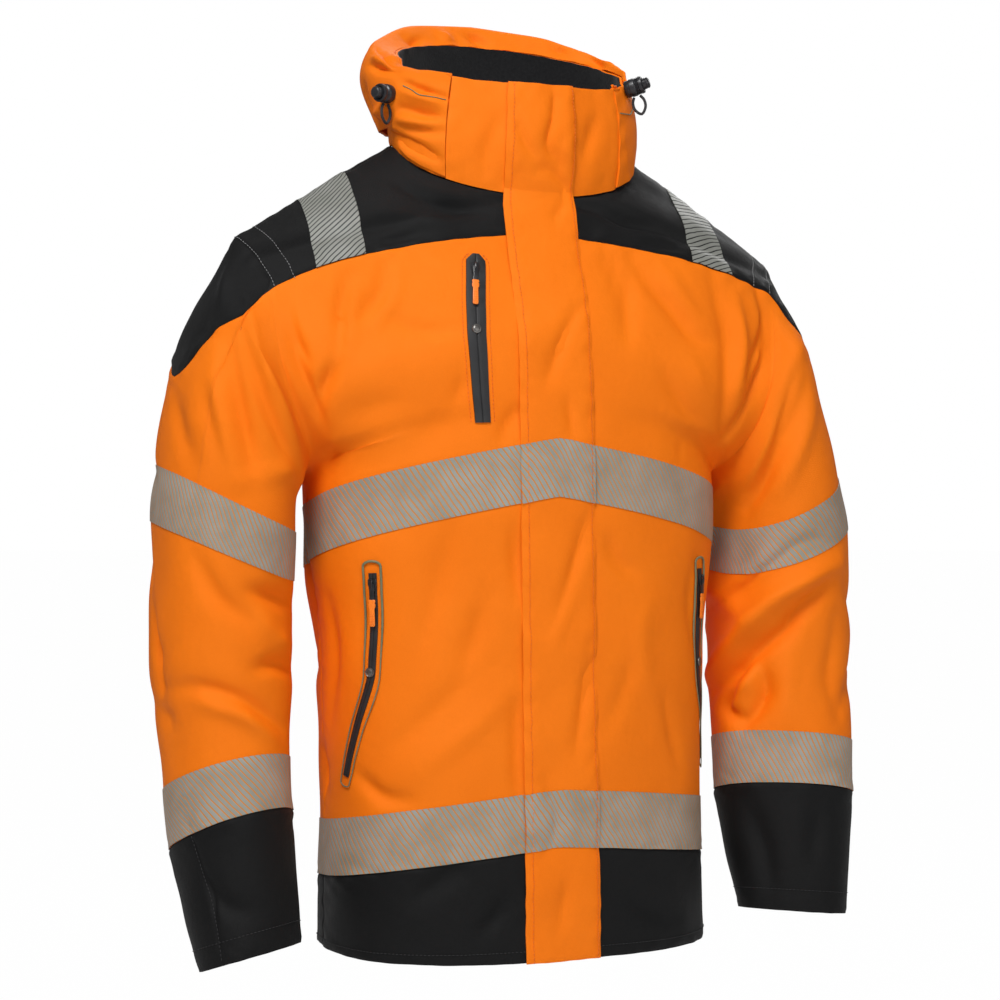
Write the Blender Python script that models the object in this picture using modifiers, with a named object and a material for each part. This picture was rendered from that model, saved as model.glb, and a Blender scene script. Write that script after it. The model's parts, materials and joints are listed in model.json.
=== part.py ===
"""Hi-vis work jacket in the hollow form it has when worn, with no wearer inside.

Every cut piece of cloth is a thin wall of its own. The pieces lie on one cloth surface, lofted from
short tables of sections, so that neighbours share their seam points and the direction of their
thickness. Tapes, zips and trim are made from the points of the panel they lie on, moved out.

Frame: metres, +Z up, origin at the neck: midway between the two side-neck points, on the shoulder
line. The front faces -Y and the wearer's left is +X.
"""
from collections import namedtuple
from math import acos, asin, ceil, cos, degrees, pi, radians, sin

import bmesh
import bpy
import numpy as np
from mathutils import Matrix, Vector
from mathutils.bvhtree import BVHTree

# ------------------------------------------------------------------ driving sizes
CLOTH = 0.0020            # wall of the laminated outer cloth
LINING = 0.0010           # wall of the collar's black inner face
TAPE = 0.0008             # segmented reflective tape
FLAP = 0.0016             # storm flap
FLAP_LIFT = 0.0020        # clear of the cloth, over the tapes' ends that it hides
SEAM_GAP = 0.0003         # clear space between two pieces at a seam
LAY_GAP = 0.0003          # clear space under a piece that lies on a panel
TRIM_GAP = 0.0006         # the same under narrow trim, which crosses the panel's facets

NECK_HALF_WIDTH = 0.118
NECK_FRONT = 0.060        # how far the neck seam reaches in front of the shoulder line
NECK_BACK = 0.088
NECK_FRONT_DROP = 0.048   # how far the neck seam falls at centre front
NECK_BACK_RISE = 0.012
RIM_HALF_WIDTH = 0.1110
RIM_FRONT = 0.0650
RIM_BACK = 0.0900
RIM_SIDE_Z = 0.0800
RIM_FRONT_DROP = 0.0280
RIM_BACK_RISE = 0.0370
COLLAR_BULGE = 0.0045     # how far the collar wall swells between its two edges
COLLAR_LIFT = 0.0010      # the collar's lower edge stands this far above the neck seam
LINING_LOW = 0.03         # share of the collar's height where its lining starts

SHOULDER_TAPE_IN = 0.163  # X of the right shoulder tape's inner edge
SHOULDER_TAPE_ACROSS = 0.043
LEFT_TAPE_SHIFT = 0.009   # the left one lies this much nearer the neck
FLAP_HALF_WIDTH = 0.035
FLAP_COLLAR_HALF_WIDTH = 0.0330
FLAP_NECK_SHARE = 0.04    # share of the collar's height where the flap leaves the neck seam
TAPE_START = 0.006        # the front tapes start this far from the centre line, under the flap
YOKE_DEPTH = 0.04         # twice how far below the yoke's front edge its back edge may hang
COLLAR_SEAM_DEG = 44.0    # turn, from centre front, of the seam between collar front and hood

# Columns across half a torso row: centre to shoulder tape, under the tape, tape to side seam.
COLUMNS_INNER = 4
COLUMNS_TAPE = 2
COLUMNS_OUTER = 4
CAP_ROWS = 3              # rows of cloth in the black sleeve head
COLLAR_ROWS = 3
HOOD_ROWS = 2             # rows between each two of the hood's section points
RIM_GAP = 0.0007          # the hood starts this far above the collar's rim

ORANGE = (1.000, 0.215, 0.010)
BLACK = (0.012, 0.012, 0.014)
GREY = (0.300, 0.305, 0.290)
OLIVE = (0.175, 0.180, 0.085)


# ------------------------------------------------------------------ tables
def neck_point(turn):
    """A point of the neck seam, on the wearer's left, turn degrees round from centre front."""
    c = cos(radians(turn))
    y = -NECK_FRONT * c if c > 0 else -NECK_BACK * c
    z = -NECK_FRONT_DROP * c if c > 0 else -NECK_BACK_RISE * c
    return NECK_HALF_WIDTH * sin(radians(turn)), y, z


def rim_point(turn):
    """The same for the collar's open upper edge."""
    c = cos(radians(turn))
    y = -RIM_FRONT * c if c > 0 else -RIM_BACK * c
    z = RIM_SIDE_Z - (RIM_FRONT_DROP * c**0.5 if c > 0 else RIM_BACK_RISE * c)
    return RIM_HALF_WIDTH * sin(radians(turn)), y, z


# One row of cloth on the wearer's left half of the torso. It runs from its inner end (x0, y0, z0),
# at the centre line or the neck seam, to its outer end (x1, y1, z1), at the side seam or the armhole,
# as part of a superellipse of the given power that has turned end_deg degrees by its outer end.
# fall is the power with which z leaves the inner end. The jacket hangs a little askew: tilt is how
# much the outer end is higher on the left and lower on the right. steps are the rows to the next.
Row = namedtuple("Row", "name x0 y0 z0 x1 y1 z1 power end_deg fall tilt steps")
TORSO = [
    Row("hem_front", 0, -0.1148, -0.720, 0.183, 0.004, -0.7210, 2.4, 90, 1.0, -0.005, 3),
    Row("hem_tape_bottom_front", 0, -0.1130, -0.6215, 0.181, 0.004, -0.6525, 2.4, 90, 1.0, 0, 1),
    Row("hem_tape_top_front", 0, -0.1112, -0.5715, 0.180, 0.004, -0.6025, 2.4, 90, 1.0, 0, 3),
    Row("waist_front", 0, -0.1060, -0.430, 0.184, 0.004, -0.4550, 2.4, 90, 1.0, 0, 2),
    Row("chest_tape_bottom_front", 0, -0.1035, -0.316, 0.194, 0.004, -0.3710, 2.4, 90, 0.9, 0.001, 1),
    Row("chest_tape_top_front", 0, -0.1022, -0.265, 0.196, 0.004, -0.3200, 2.4, 90, 0.9, 0.001, 1),
    Row("underarm_front", 0, -0.1008, -0.240, 0.197, 0.004, -0.2970, 2.4, 88, 1.0, 0, 1),
    Row("armpit_front", 0, -0.0995, -0.215, 0.206, -0.042, -0.2800, 2.4, 82, 1.0, 0, 1),
    Row("chest", 0, -0.0965, -0.175, 0.226, -0.064, -0.2350, 2.4, 74, 1.0, 0, 2),
    Row("upper_chest", 0, -0.0835, -0.128, 0.242, -0.062, -0.1850, 2.3, 68, 1.0, 0.003, 1),
    Row("yoke_edge_front", 0, -0.0670, -0.0825, 0.243, -0.050, -0.1305, 2.2, 60, 1.45, 0.006, 1),
    Row("neck_front", *neck_point(0), 0.250, -0.032, -0.1120, 2.1, 50, 1.0, 0.002, 1),
    Row("neck_30", *neck_point(30), 0.254, -0.023, -0.1040, 2.0, 42, 1.0, 0, 1),
    Row("neck_60", *neck_point(60), 0.259, -0.012, -0.0960, 2.0, 34, 1.0, 0, 1),
    Row("shoulder", *neck_point(90), 0.263, 0.002, -0.0900, 2.0, 25, 1.0, 0, 1),
    Row("neck_120", *neck_point(120), 0.259, 0.016, -0.0960, 2.0, 34, 1.0, 0, 1),
    Row("neck_150", *neck_point(150), 0.254, 0.029, -0.1040, 2.0, 42, 1.0, 0, 1),
    Row("neck_back", *neck_point(180), 0.250, 0.040, -0.1140, 2.1, 50, 1.2, 0, 1),
    Row("yoke_edge_back", 0, 0.1080, -0.1050, 0.243, 0.062, -0.1500, 2.2, 60, 1.3, 0, 1),
    Row("upper_back", 0, 0.1140, -0.165, 0.240, 0.074, -0.1950, 2.3, 68, 1.6, 0, 2),
    Row("shoulder_blade", 0, 0.1170, -0.225, 0.225, 0.076, -0.2420, 2.4, 74, 1.8, 0, 1),
    Row("armpit_back", 0, 0.1175, -0.265, 0.206, 0.050, -0.2820, 2.4, 82, 2.0, 0, 1),
    Row("underarm_back", 0, 0.1170, -0.315, 0.197, 0.004, -0.2970, 2.4, 88, 2.0, 0, 1),
    Row("chest_tape_top_back", 0, 0.1165, -0.3475, 0.196, 0.004, -0.3200, 2.4, 90, 2.0, 0.001, 1),
    Row("chest_tape_bottom_back", 0, 0.1150, -0.3985, 0.194, 0.004, -0.3710, 2.4, 90, 2.0, 0.001, 2),
    Row("waist_back", 0, 0.1080, -0.470, 0.184, 0.004, -0.4550, 2.4, 90, 2.0, 0, 3),
    Row("hem_tape_top_back", 0, 0.1070, -0.618, 0.180, 0.004, -0.6025, 2.4, 90, 2.0, 0, 1),
    Row("hem_tape_bottom_back", 0, 0.1080, -0.668, 0.181, 0.004, -0.6525, 2.4, 90, 2.0, 0, 3),
    Row("hem_back", 0, 0.1110, -0.723, 0.183, 0.004, -0.7210, 2.4, 90, 2.0, -0.005, 0),
]

# Panels and tapes of the torso, from one row of the table to another.
Band = namedtuple("Band", "name first last")
TORSO_PANELS = [
    Band("hem_front", "hem_front", "hem_tape_bottom_front"),
    Band("front", "hem_tape_bottom_front", "yoke_edge_front"),
    Band("yoke_front", "yoke_edge_front", "shoulder"),
    Band("yoke_back", "shoulder", "yoke_edge_back"),
    Band("back", "yoke_edge_back", "hem_tape_bottom_back"),
    Band("hem_back", "hem_tape_bottom_back", "hem_back"),
]
TORSO_TAPES = [
    Band("hem_tape", "hem_tape_bottom_front", "hem_tape_top_front"),
    Band("chest_tape", "chest_tape_bottom_front", "chest_tape_top_front"),
    Band("chest_tape_back", "chest_tape_top_back", "chest_tape_bottom_back"),
    Band("hem_tape_back", "hem_tape_top_back", "hem_tape_bottom_back"),
]

FLAP_TAPES = [
    Band("hem_tape_flap", "hem_tape_bottom_front", "hem_tape_top_front"),
    Band("chest_tape_flap", "chest_tape_bottom_front", "chest_tape_top_front"),
]

# A ring of the wearer's left sleeve: its outermost and innermost points, its half depth between
# them, how much higher its front point is than its middle, and the rows down to the next ring.
# The right sleeve hangs closer and slimmer: its outer and inner points move in by right_out and
# right_in, its inner point drops by right_drop and its front point rises by right_lift.
Ring = namedtuple("Ring", "name out_x out_y out_z in_x in_y in_z half_depth lift steps "
                          "right_out right_in right_drop right_lift")
SLEEVE = [
    Ring("armhole", 0, 0, 0, 0, 0, 0, 0, 0, 2, 0, 0, 0, 0),
    Ring("head", 0.2880, 0.000, -0.150, 0.2090, 0.006, -0.309, 0.083, 0.000, 1, -0.0060, 0.000, 0, 0),
    Ring("cap_seam", 0.3090, 0.000, -0.212, 0.2140, 0.006, -0.323, 0.082, -0.004, 2, -0.0080, 0.000, 0, 0),
    Ring("tape_top", 0.3310, 0.000, -0.290, 0.2160, 0.004, -0.345, 0.079, -0.010, 1, 0.0020, 0.002, 0, 0),
    Ring("tape_bottom", 0.3415, 0.000, -0.339, 0.2150, 0.003, -0.388, 0.075, -0.008, 2, 0.0075, 0.000, 0, 0),
    Ring("elbow", 0.3475, -0.004, -0.455, 0.2120, 0.006, -0.478, 0.070, 0.004, 2, 0.0125, -0.004, 0.004, 0.004),
    Ring("cuff_tape_top", 0.3360, -0.040, -0.553, 0.2120, 0.008, -0.547, 0.055, 0.014, 1,
         0.0165, -0.018, 0.012, 0.008),
    Ring("cuff_tape_bottom", 0.3300, -0.052, -0.600, 0.2110, 0.002, -0.597, 0.052, 0.015, 2,
         0.0160, -0.020, 0.008, 0.008),
    Ring("cuff", 0.3070, -0.079, -0.709, 0.2170, -0.033, -0.7045, 0.037, 0.006, 0, 0.0015, -0.005, 0, 0.006),
]
SLEEVE_POWER = 2.15       # of the rings' superellipse
HEAD_ROUND = 0.55         # how full the black sleeve head is between its tip and the yoke seams
SLEEVE_TAPES = [
    Band("sleeve_tape_upper", "tape_top", "tape_bottom"),
    Band("sleeve_tape_lower", "cuff_tape_top", "cuff_tape_bottom"),
]

# The hood, rolled down outside the collar. At each turn from centre front (negative on the wearer's
# right): how far its crest stands out from and above the rim, how far its belly stands out from the
# collar and at what height, and how far out and how high its lower edge ends.
Roll = namedtuple("Roll", "turn crest_out crest_up belly_out belly_z foot_out foot_up")
HOOD = [
    Roll(-180, 0.020, 0.0215, 0.046, 0.060, 0.012, 0.012),
    Roll(-150, 0.022, 0.019, 0.044, 0.060, 0.010, 0.012),
    Roll(-120, 0.022, 0.008, 0.028, 0.070, 0.007, 0.012),
    Roll(-90, 0.015, 0.003, 0.018, 0.066, 0.003, 0.014),
    Roll(-66, 0.006, 0.002, 0.012, 0.050, 0.001, 0.008),
    Roll(-44, 0.001, 0.002, 0.001, 0.040, 0.001, 0.006),
    Roll(44, 0.001, 0.002, 0.001, 0.040, 0.001, 0.006),
    Roll(66, 0.001, 0.002, 0.000, 0.045, 0.001, 0.006),
    Roll(90, 0.002, 0.003, 0.001, 0.052, 0.001, 0.008),
    Roll(120, 0.009, 0.010, 0.020, 0.058, 0.004, 0.010),
    Roll(150, 0.016, 0.018, 0.036, 0.060, 0.009, 0.012),
    Roll(180, 0.020, 0.0215, 0.046, 0.060, 0.012, 0.012),
]

# The largest folds: troughs between two points on the wearer's left, with half width and depth.
# side says where each one lies: +1 the wearer's left, -1 the right, 0 both.
Fold = namedtuple("Fold", "x0 y0 z0 x1 y1 z1 half_width depth side")
FOLDS = [
    Fold(0.190, -0.078, -0.270, 0.222, -0.062, -0.195, 0.016, 0.006, 0),
    Fold(0.250, -0.070, -0.215, 0.200, -0.070, -0.285, 0.016, 0.006, 0),
    Fold(0.205, -0.030, -0.500, 0.300, -0.070, -0.430, 0.020, 0.007, 0),
    Fold(0.205, -0.020, -0.430, 0.260, -0.070, -0.400, 0.016, 0.005, -1),
    Fold(0.230, 0.070, -0.420, 0.330, 0.050, -0.500, 0.020, 0.005, 0),
    Fold(0.205, 0.080, -0.280, 0.150, 0.115, -0.210, 0.022, 0.005, 0),
    Fold(0.050, -0.110, -0.480, 0.150, -0.090, -0.440, 0.024, 0.003, 0),
    Fold(0.040, 0.125, -0.520, 0.150, 0.100, -0.440, 0.026, 0.004, 0),
]

BODY_RADIUS = 0.18        # mean radius of the body, to weigh a turn against a height
# Zips that show: the path of each on the panel, top to bottom, by its turn round the body from
# centre front (degrees) and its height, and its half width at each point.
Stop = namedtuple("Stop", "turn z half_width")
CHEST_ZIP = [Stop(42.4, -0.103, 0.0030), Stop(41.8, -0.110, 0.0090), Stop(37.6, -0.180, 0.0085),
             Stop(35.0, -0.252, 0.0070)]
HAND_ZIP = [Stop(67.0, -0.382, 0.0036), Stop(68.2, -0.466, 0.0036), Stop(73.2, -0.516, 0.0034),
            Stop(77.6, -0.560, 0.0032)]
HAND_PIPING = [Stop(67.0, -0.376, 0.0080), Stop(68.2, -0.471, 0.0078), Stop(73.4, -0.520, 0.0070),
               Stop(78.0, -0.566, 0.0056)]
# Where sliders and snaps sit, and how far they lean, top outwards, in degrees.
Spot = namedtuple("Spot", "turn z lean")
CHEST_SLIDER = Spot(42.0, -0.116, -5.0)
CHEST_SNAP = Spot(38.4, -0.171, 0.0)
HAND_SLIDER = Spot(67.2, -0.392, 0.0)
HAND_SNAP = Spot(68.7, -0.468, 0.0)
ZIP_THICK = 0.0012
PIPING_RADIUS = 0.0010
STRIP_STEP = 0.0080       # length of one facet of a zip strip, and of its piping
PIPING_STEP = 0.0100
FEEL = 0.0070             # reach over which the cloth's direction is averaged

# Pull tab, slider and snap fastener.
SLIDER_WIDTH = 0.0080
SLIDER_HEIGHT = 0.0110
SLIDER_DEPTH = 0.0036
SLOT_WIDTH = 0.0050
SLOT_DEPTH = 0.0026
SLOT_TOP = 0.0032         # upper end of the slot, above the slider's middle
HINGE_OUT = 0.0014        # the hinge axis, out from the slot's floor
PULL_THICK = 0.0016
PULL_NECK = 0.0042
PULL_NECK_LENGTH = 0.0080
PULL_SHOULDER = 0.0100    # how far below the hinge axis the tab has widened
PULL_WIDTH = 0.0066
PULL_LENGTH = 0.0360
PULL_EDGE = 0.0009        # how far the tab reaches past its hinge axis
SNAP_RADIUS = 0.0043
SNAP_HEIGHT = 0.0016
SNAP_TAPER = 0.86
ROUND_SEGMENTS = 20

# Cord locks, each standing straight out of the hood at its turn and height.
Lock = namedtuple("Lock", "side turn z")
LOCKS = [Lock(1, 72.0, 0.0610), Lock(-1, 82.0, 0.0430)]
LOCK_RADIUS = 0.0085
LOCK_LENGTH = 0.0170
LOCK_BORE = 0.0056
LOCK_BORE_DEPTH = 0.0110
PLUNGER_RADIUS = 0.0052
PLUNGER_LENGTH = 0.0130
PLUNGER_TRAVEL = 0.0035
PLUNGER_REST = 0.0006     # left under the plunger when it is pressed home
LOCK_BEVEL = 0.0012
LOOP_START = 0.0008       # the cord loop starts this far off the barrel
LOOP_DROP = 0.0170
LOOP_HALF_WIDTH = 0.0055
LOOP_HEIGHT = 0.50        # share of the barrel's length where the loop comes out
CORD_RADIUS = 0.0013
# The loop's line: share of its half width across, and of its drop.
LOOP = [(-0.55, 0.0), (-1.0, 0.3), (-0.9, 0.7), (0.0, 1.0), (0.9, 0.7), (1.0, 0.3), (0.55, 0.0)]


# ------------------------------------------------------------------ smooth columns
def smooth_columns(knots, values, wanted):
    """Monotone cubic interpolation of each column of values at the wanted places."""
    knots = np.asarray(knots, float)
    values = np.asarray(values, float)
    span = np.diff(knots)[:, None]
    slope = np.diff(values, axis=0) / span
    tangent = np.zeros_like(values)
    tangent[0] = slope[0]
    tangent[-1] = slope[-1]
    before, after = slope[:-1], slope[1:]
    w1, w2 = 2 * span[1:] + span[:-1], span[1:] + 2 * span[:-1]
    same = before * after > 0
    with np.errstate(divide="ignore", invalid="ignore"):
        mean = (w1 + w2) / (w1 / before + w2 / after)
    tangent[1:-1] = np.where(same, mean, 0.0)
    out = []
    for place in wanted:
        k = int(np.clip(np.searchsorted(knots, place, side="right") - 1, 0, len(knots) - 2))
        h = knots[k + 1] - knots[k]
        u = (place - knots[k]) / h
        out.append((2 * u**3 - 3 * u**2 + 1) * values[k] + (u**3 - 2 * u**2 + u) * h * tangent[k]
                   + (3 * u**2 - 2 * u**3) * values[k + 1] + (u**3 - u**2) * h * tangent[k + 1])
    return np.array(out)


def lengths(values):
    """Running length along a list of points, as knots for smooth_columns."""
    steps = np.linalg.norm(np.diff(np.asarray(values, float), axis=0), axis=1)
    return np.concatenate([[0.0], np.cumsum(np.maximum(steps, 1e-4))])


def spread(knots, steps):
    """Places along the knots with the given number of steps in each interval."""
    places = []
    for k, count in enumerate(steps):
        places += [knots[k] + (knots[k + 1] - knots[k]) * i / count for i in range(count)]
    return places + [knots[-1]]


# ------------------------------------------------------------------ the cloth surface
class Cloth:
    """Triangles of cloth, labelled by panel and tape, whose points and normals are shared."""

    def __init__(self):
        self.points = []
        self.index = {}
        self.faces = []
        self.panel = []
        self.tape = []
        self.group = []
        self.normals = None

    def point(self, place):
        key = tuple(round(c * 1e6) + 0 for c in place)
        if key not in self.index:
            self.index[key] = len(self.points)
            self.points.append(tuple(place))
        return self.index[key]

    def grid(self, rows, label, flip, group=0):
        """Triangulates a grid of points. label(i, j) names the panel and the tape of a cell."""
        ids = [[self.point(p) for p in row] for row in rows]
        for i in range(len(ids) - 1):
            for j in range(len(ids[0]) - 1):
                a, b, c, d = ids[i][j], ids[i][j + 1], ids[i + 1][j + 1], ids[i + 1][j]
                for face in ((a, b, c), (a, c, d)):
                    if len(set(face)) < 3:
                        continue
                    panel, tape = label(i, j)
                    self.faces.append(face[::-1] if flip else face)
                    self.panel.append(panel)
                    self.tape.append(tape)
                    self.group.append(group)

    def settle(self, folds=()):
        """Presses the folds in, then works out the shared normals."""
        self.points = np.array(self.points)
        self.faces = np.array(self.faces)
        self.find_normals()
        for fold in folds:
            self.press(fold)
        self.find_normals()

    def find_normals(self):
        """Normals of the points; where two groups meet, halfway between the two directions."""
        p = self.points[self.faces]
        cross = np.cross(p[:, 1] - p[:, 0], p[:, 2] - p[:, 0])
        group = np.array(self.group)
        self.normals = np.zeros_like(self.points)
        for number in sorted(set(self.group)):
            own = np.zeros_like(self.points)
            chosen = group == number
            for corner in range(3):
                np.add.at(own, self.faces[chosen][:, corner], cross[chosen])
            size = np.linalg.norm(own, axis=1)[:, None]
            self.normals += own / np.where(size > 0, size, 1)
        self.normals /= np.linalg.norm(self.normals, axis=1)[:, None]

    def press(self, fold):
        for side in ((1, -1) if fold.side == 0 else (fold.side,)):
            a = np.array([fold.x0 * side, fold.y0, fold.z0])
            b = np.array([fold.x1 * side, fold.y1, fold.z1])
            along = np.clip((self.points - a) @ (b - a) / ((b - a) @ (b - a)), 0, 1)
            away = np.linalg.norm(self.points - (a + along[:, None] * (b - a)), axis=1)
            depth = fold.depth * np.exp(-(away / fold.half_width)**2) * np.sin(pi * (0.15 + 0.7 * along))
            self.points = self.points - self.normals * depth[:, None]

    def chosen(self, panels=None, tape=None, region=None):
        """Indices of the faces of the given panels or tape, inside a region if there is one."""
        picked = []
        for k, (panel, strip) in enumerate(zip(self.panel, self.tape)):
            if (panels and panel in panels) or (tape and strip == tape):
                if region is None or region(self.points[self.faces[k]].mean(axis=0)):
                    picked.append(k)
        return picked

    def everything(self):
        return list(range(len(self.faces)))

    def wall(self, picked, inner, outer):
        """A closed wall over the picked faces, from one offset along the normals to another."""
        faces = self.faces[picked]
        used, local = np.unique(faces, return_inverse=True)
        local = local.reshape(faces.shape)
        points, normals = self.points[used], self.normals[used]
        edges = {}
        for face in local:
            for a, b in zip(face, np.roll(face, -1)):
                edges[(a, b)] = True
        rim = [(a, b) for a, b in edges if (b, a) not in edges]
        inward = [[] for _ in used]
        for a, b in rim:
            direction = points[b] - points[a]
            into = np.cross(normals[a] + normals[b], direction)
            into /= np.linalg.norm(into)
            inward[a].append(into)
            inward[b].append(into)
        points = points.copy()
        for k, pair in enumerate(inward):
            if len(pair) == 2:
                bend = 1 + float(np.dot(pair[0], pair[1]))
                points[k] += (pair[0] + pair[1]) / max(bend, 0.4) * SEAM_GAP / 2
        count = len(used)
        top = points + normals * outer
        bottom = points + normals * inner
        solid = [tuple(f) for f in local] + [tuple(count + f[::-1]) for f in local]
        for a, b in rim:
            if used[a] < used[b]:
                solid += [(b, a, count + a), (b, count + a, count + b)]
            else:
                solid += [(b, a, count + b), (a, count + a, count + b)]
        return np.vstack([top, bottom]), solid


def torso_rows():
    """Places of every row of the torso table, and the smooth columns there."""
    knots = lengths([[(r.x0 + r.x1) / 2, (r.y0 + r.y1) / 2, (r.z0 + r.z1) / 2] for r in TORSO])
    columns = np.array([r[1:11] for r in TORSO], float)
    places = spread(knots, [r.steps for r in TORSO[:-1]])
    names = {r.name: places.index(knots[k]) for k, r in enumerate(TORSO)}
    return knots, columns, places, names


def row_point(row, x):
    """The point of a torso row at the given x, on the wearer's left."""
    x0, y0, z0, x1, y1, z1, power, end_deg, fall, _ = row
    end = radians(end_deg)
    share = min(max((x - x0) / (x1 - x0), 0.0), 1.0)
    turn = asin(min(share * sin(end)**(2 / power), 1.0)**(power / 2)) if share < 1 else end
    depth = (1 - cos(turn)**(2 / power)) / (1 - cos(end)**(2 / power))
    return x, y0 + (y1 - y0) * depth, z0 + (z1 - z0) * (turn / end)**fall


def row_columns(row, side):
    """The x of every column of a torso row, evenly turned within its three groups."""
    x0, _, _, x1, _, _, power, end_deg, _, _ = row
    end = radians(end_deg)
    reach = sin(end)**(2 / power)
    low, high = tape_edges(row, side)
    turns = [asin(min(q * reach, 1)**(power / 2)) for q in (0.0, low, high)] + [end]
    stops = spread(turns, (COLUMNS_INNER, COLUMNS_TAPE, COLUMNS_OUTER))
    xs = [x0 + (x1 - x0) * sin(t)**(2 / power) / reach for t in stops]
    return xs[:-1] + [x1]


def tape_edges(row, side):
    """The shoulder tape's edges as shares of a row; below the yoke they keep the yoke edge's share."""
    inner = SHOULDER_TAPE_IN if side < 0 else SHOULDER_TAPE_IN - LEFT_TAPE_SHIFT
    outer = inner + SHOULDER_TAPE_ACROSS
    x0, _, z0, x1, _, z1 = row[:6]
    yoke = TORSO[[r.name for r in TORSO].index("yoke_edge_front")]
    if z0 + z1 < yoke.z0 + yoke.z1 - YOKE_DEPTH:
        return inner / yoke.x1, outer / yoke.x1
    return (inner - x0) / (x1 - x0), (outer - x0) / (x1 - x0)


def in_band(bands, names, i):
    for band in bands:
        if names[band.first] <= i < names[band.last]:
            return band.name
    return None


def add_torso(cloth, side):
    """Half a torso; returns the armhole's points from the shoulder, down the front and up the back."""
    knots, columns, places, names = torso_rows()
    rows = []
    for row in smooth_columns(knots, columns, places):
        row[5] += side * row[9]
        rows.append([(side * x, y, z) for x, y, z in (row_point(row, x) for x in row_columns(row, side))])
    for i in range(names["underarm_front"] + 1):
        rows[-1 - i][-1] = rows[i][-1]
    tape_columns = range(COLUMNS_INNER, COLUMNS_INNER + COLUMNS_TAPE)

    def label(i, j):
        panel = in_band(TORSO_PANELS, names, i)
        tape = in_band(TORSO_TAPES, names, i)
        if panel.startswith("yoke") and j in tape_columns:
            tape = "shoulder_tape"
        hand = "" if panel in ("yoke_back", "back", "hem_back") else hand_of(side)
        return panel + hand, tape and tape + hand_of(side)

    cloth.grid(rows, label, flip=side < 0)
    outer = [row[-1] for row in rows]
    front = outer[names["underarm_front"]:names["shoulder"] + 1][::-1]
    back = outer[names["shoulder"]:names["underarm_back"] + 1][::-1]
    neck = [row[0] for row in rows[names["neck_front"]:names["neck_back"] + 1]]
    yoke_front = names["shoulder"] - names["yoke_edge_front"]
    yoke_back = names["yoke_edge_back"] - names["shoulder"]
    return front, back, neck, yoke_front, yoke_back


def hand_of(side):
    return "_left" if side > 0 else "_right"


def ring_point(ring, turn, side):
    """A point of a sleeve ring, turn radians round from its outermost point towards the front."""
    right = 1 if side < 0 else 0
    out = np.array([ring.out_x - right * ring.right_out, ring.out_y, ring.out_z])
    inn = np.array([ring.in_x - right * ring.right_in, ring.in_y, ring.in_z - right * ring.right_drop])
    lift = ring.lift + right * ring.right_lift
    arm = (out - inn) / 2
    fore = np.array([arm[1], -arm[0], 0.0])
    fore = fore / np.linalg.norm(fore) * ring.half_depth + np.array([0.0, 0.0, lift])
    c, s = cos(turn), sin(turn)
    c = (1 if c >= 0 else -1) * abs(c)**(2 / SLEEVE_POWER)
    s = (1 if s >= 0 else -1) * abs(s)**(2 / SLEEVE_POWER)
    p = (out + inn) / 2 + arm * c + fore * s
    return side * p[0], p[1], p[2]


def add_sleeve(cloth, side, front, back, yoke_front, yoke_back):
    """A sleeve from the armhole's points to the cuff, with the black sleeve head at its top."""
    ring0 = front + back[1:]
    front_len, back_len = lengths(front), lengths(back)
    turns = [pi * s / front_len[-1] for s in front_len]
    turns += [pi + pi * s / back_len[-1] for s in back_len[1:]]
    index = {r.name: k for k, r in enumerate(SLEEVE)}
    steps = [r.steps for r in SLEEVE[:-1]]
    last = len(ring0) - 1
    grid = []
    for j, turn in enumerate(turns):
        line = [ring0[j]] + [ring_point(r, turn, side) for r in SLEEVE[1:]]
        knots = lengths(line)
        from_tip = j / yoke_front if j <= last / 2 else (last - j) / yoke_back
        head = cos(pi / 2 * from_tip)**HEAD_ROUND if from_tip < 1 else 0.0
        cap_end = knots[index["cap_seam"]] * head
        places = [cap_end * k / CAP_ROWS for k in range(CAP_ROWS)]
        stops = [cap_end] + list(knots[index["tape_top"]:])
        below = [2] + steps[index["tape_top"]:]
        grid.append(smooth_columns(knots, line, places + spread(stops, below)))
    rows = [[tuple(column[i]) for column in grid] for i in range(len(grid[0]))]
    start = CAP_ROWS + 2
    ends = {"tape_top": start}
    for ring in SLEEVE[index["tape_top"]:-1]:
        ends[SLEEVE[index[ring.name] + 1].name] = ends[ring.name] + ring.steps
    hand = hand_of(side)

    def label(i, _):
        tape = in_band(SLEEVE_TAPES, ends, i)
        if i < CAP_ROWS:
            panel = "sleeve_head"
        elif i >= ends["cuff_tape_bottom"]:
            panel = "cuff"
        else:
            panel = "sleeve"
        return panel + hand, tape and tape + hand

    cloth.grid(rows, label, flip=side < 0, group=side)


def turn_of(place):
    """The turn of a neck point from centre front, in degrees, negative on the wearer's right."""
    x, y, _ = place
    depth = NECK_FRONT if y <= 0 else NECK_BACK
    turn = degrees(acos(min(max(-y / depth, -1.0), 1.0)))
    return turn if x >= 0 else -turn


def outward(turn):
    return np.array([sin(radians(turn)), -cos(radians(turn)), 0.0])


def collar_point(turn, share):
    """A point of the collar wall, share of the way from the neck seam to the rim."""
    side = 1 if turn >= 0 else -1
    low, high = np.array(neck_point(abs(turn))), np.array(rim_point(abs(turn)))
    p = low + (high - low) * share + np.array([0.0, 0.0, COLLAR_LIFT]) * (1 - share)
    p[0] *= side
    return p + outward(turn) * COLLAR_BULGE * 4 * share * max(1 - share, 0.0)


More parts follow.
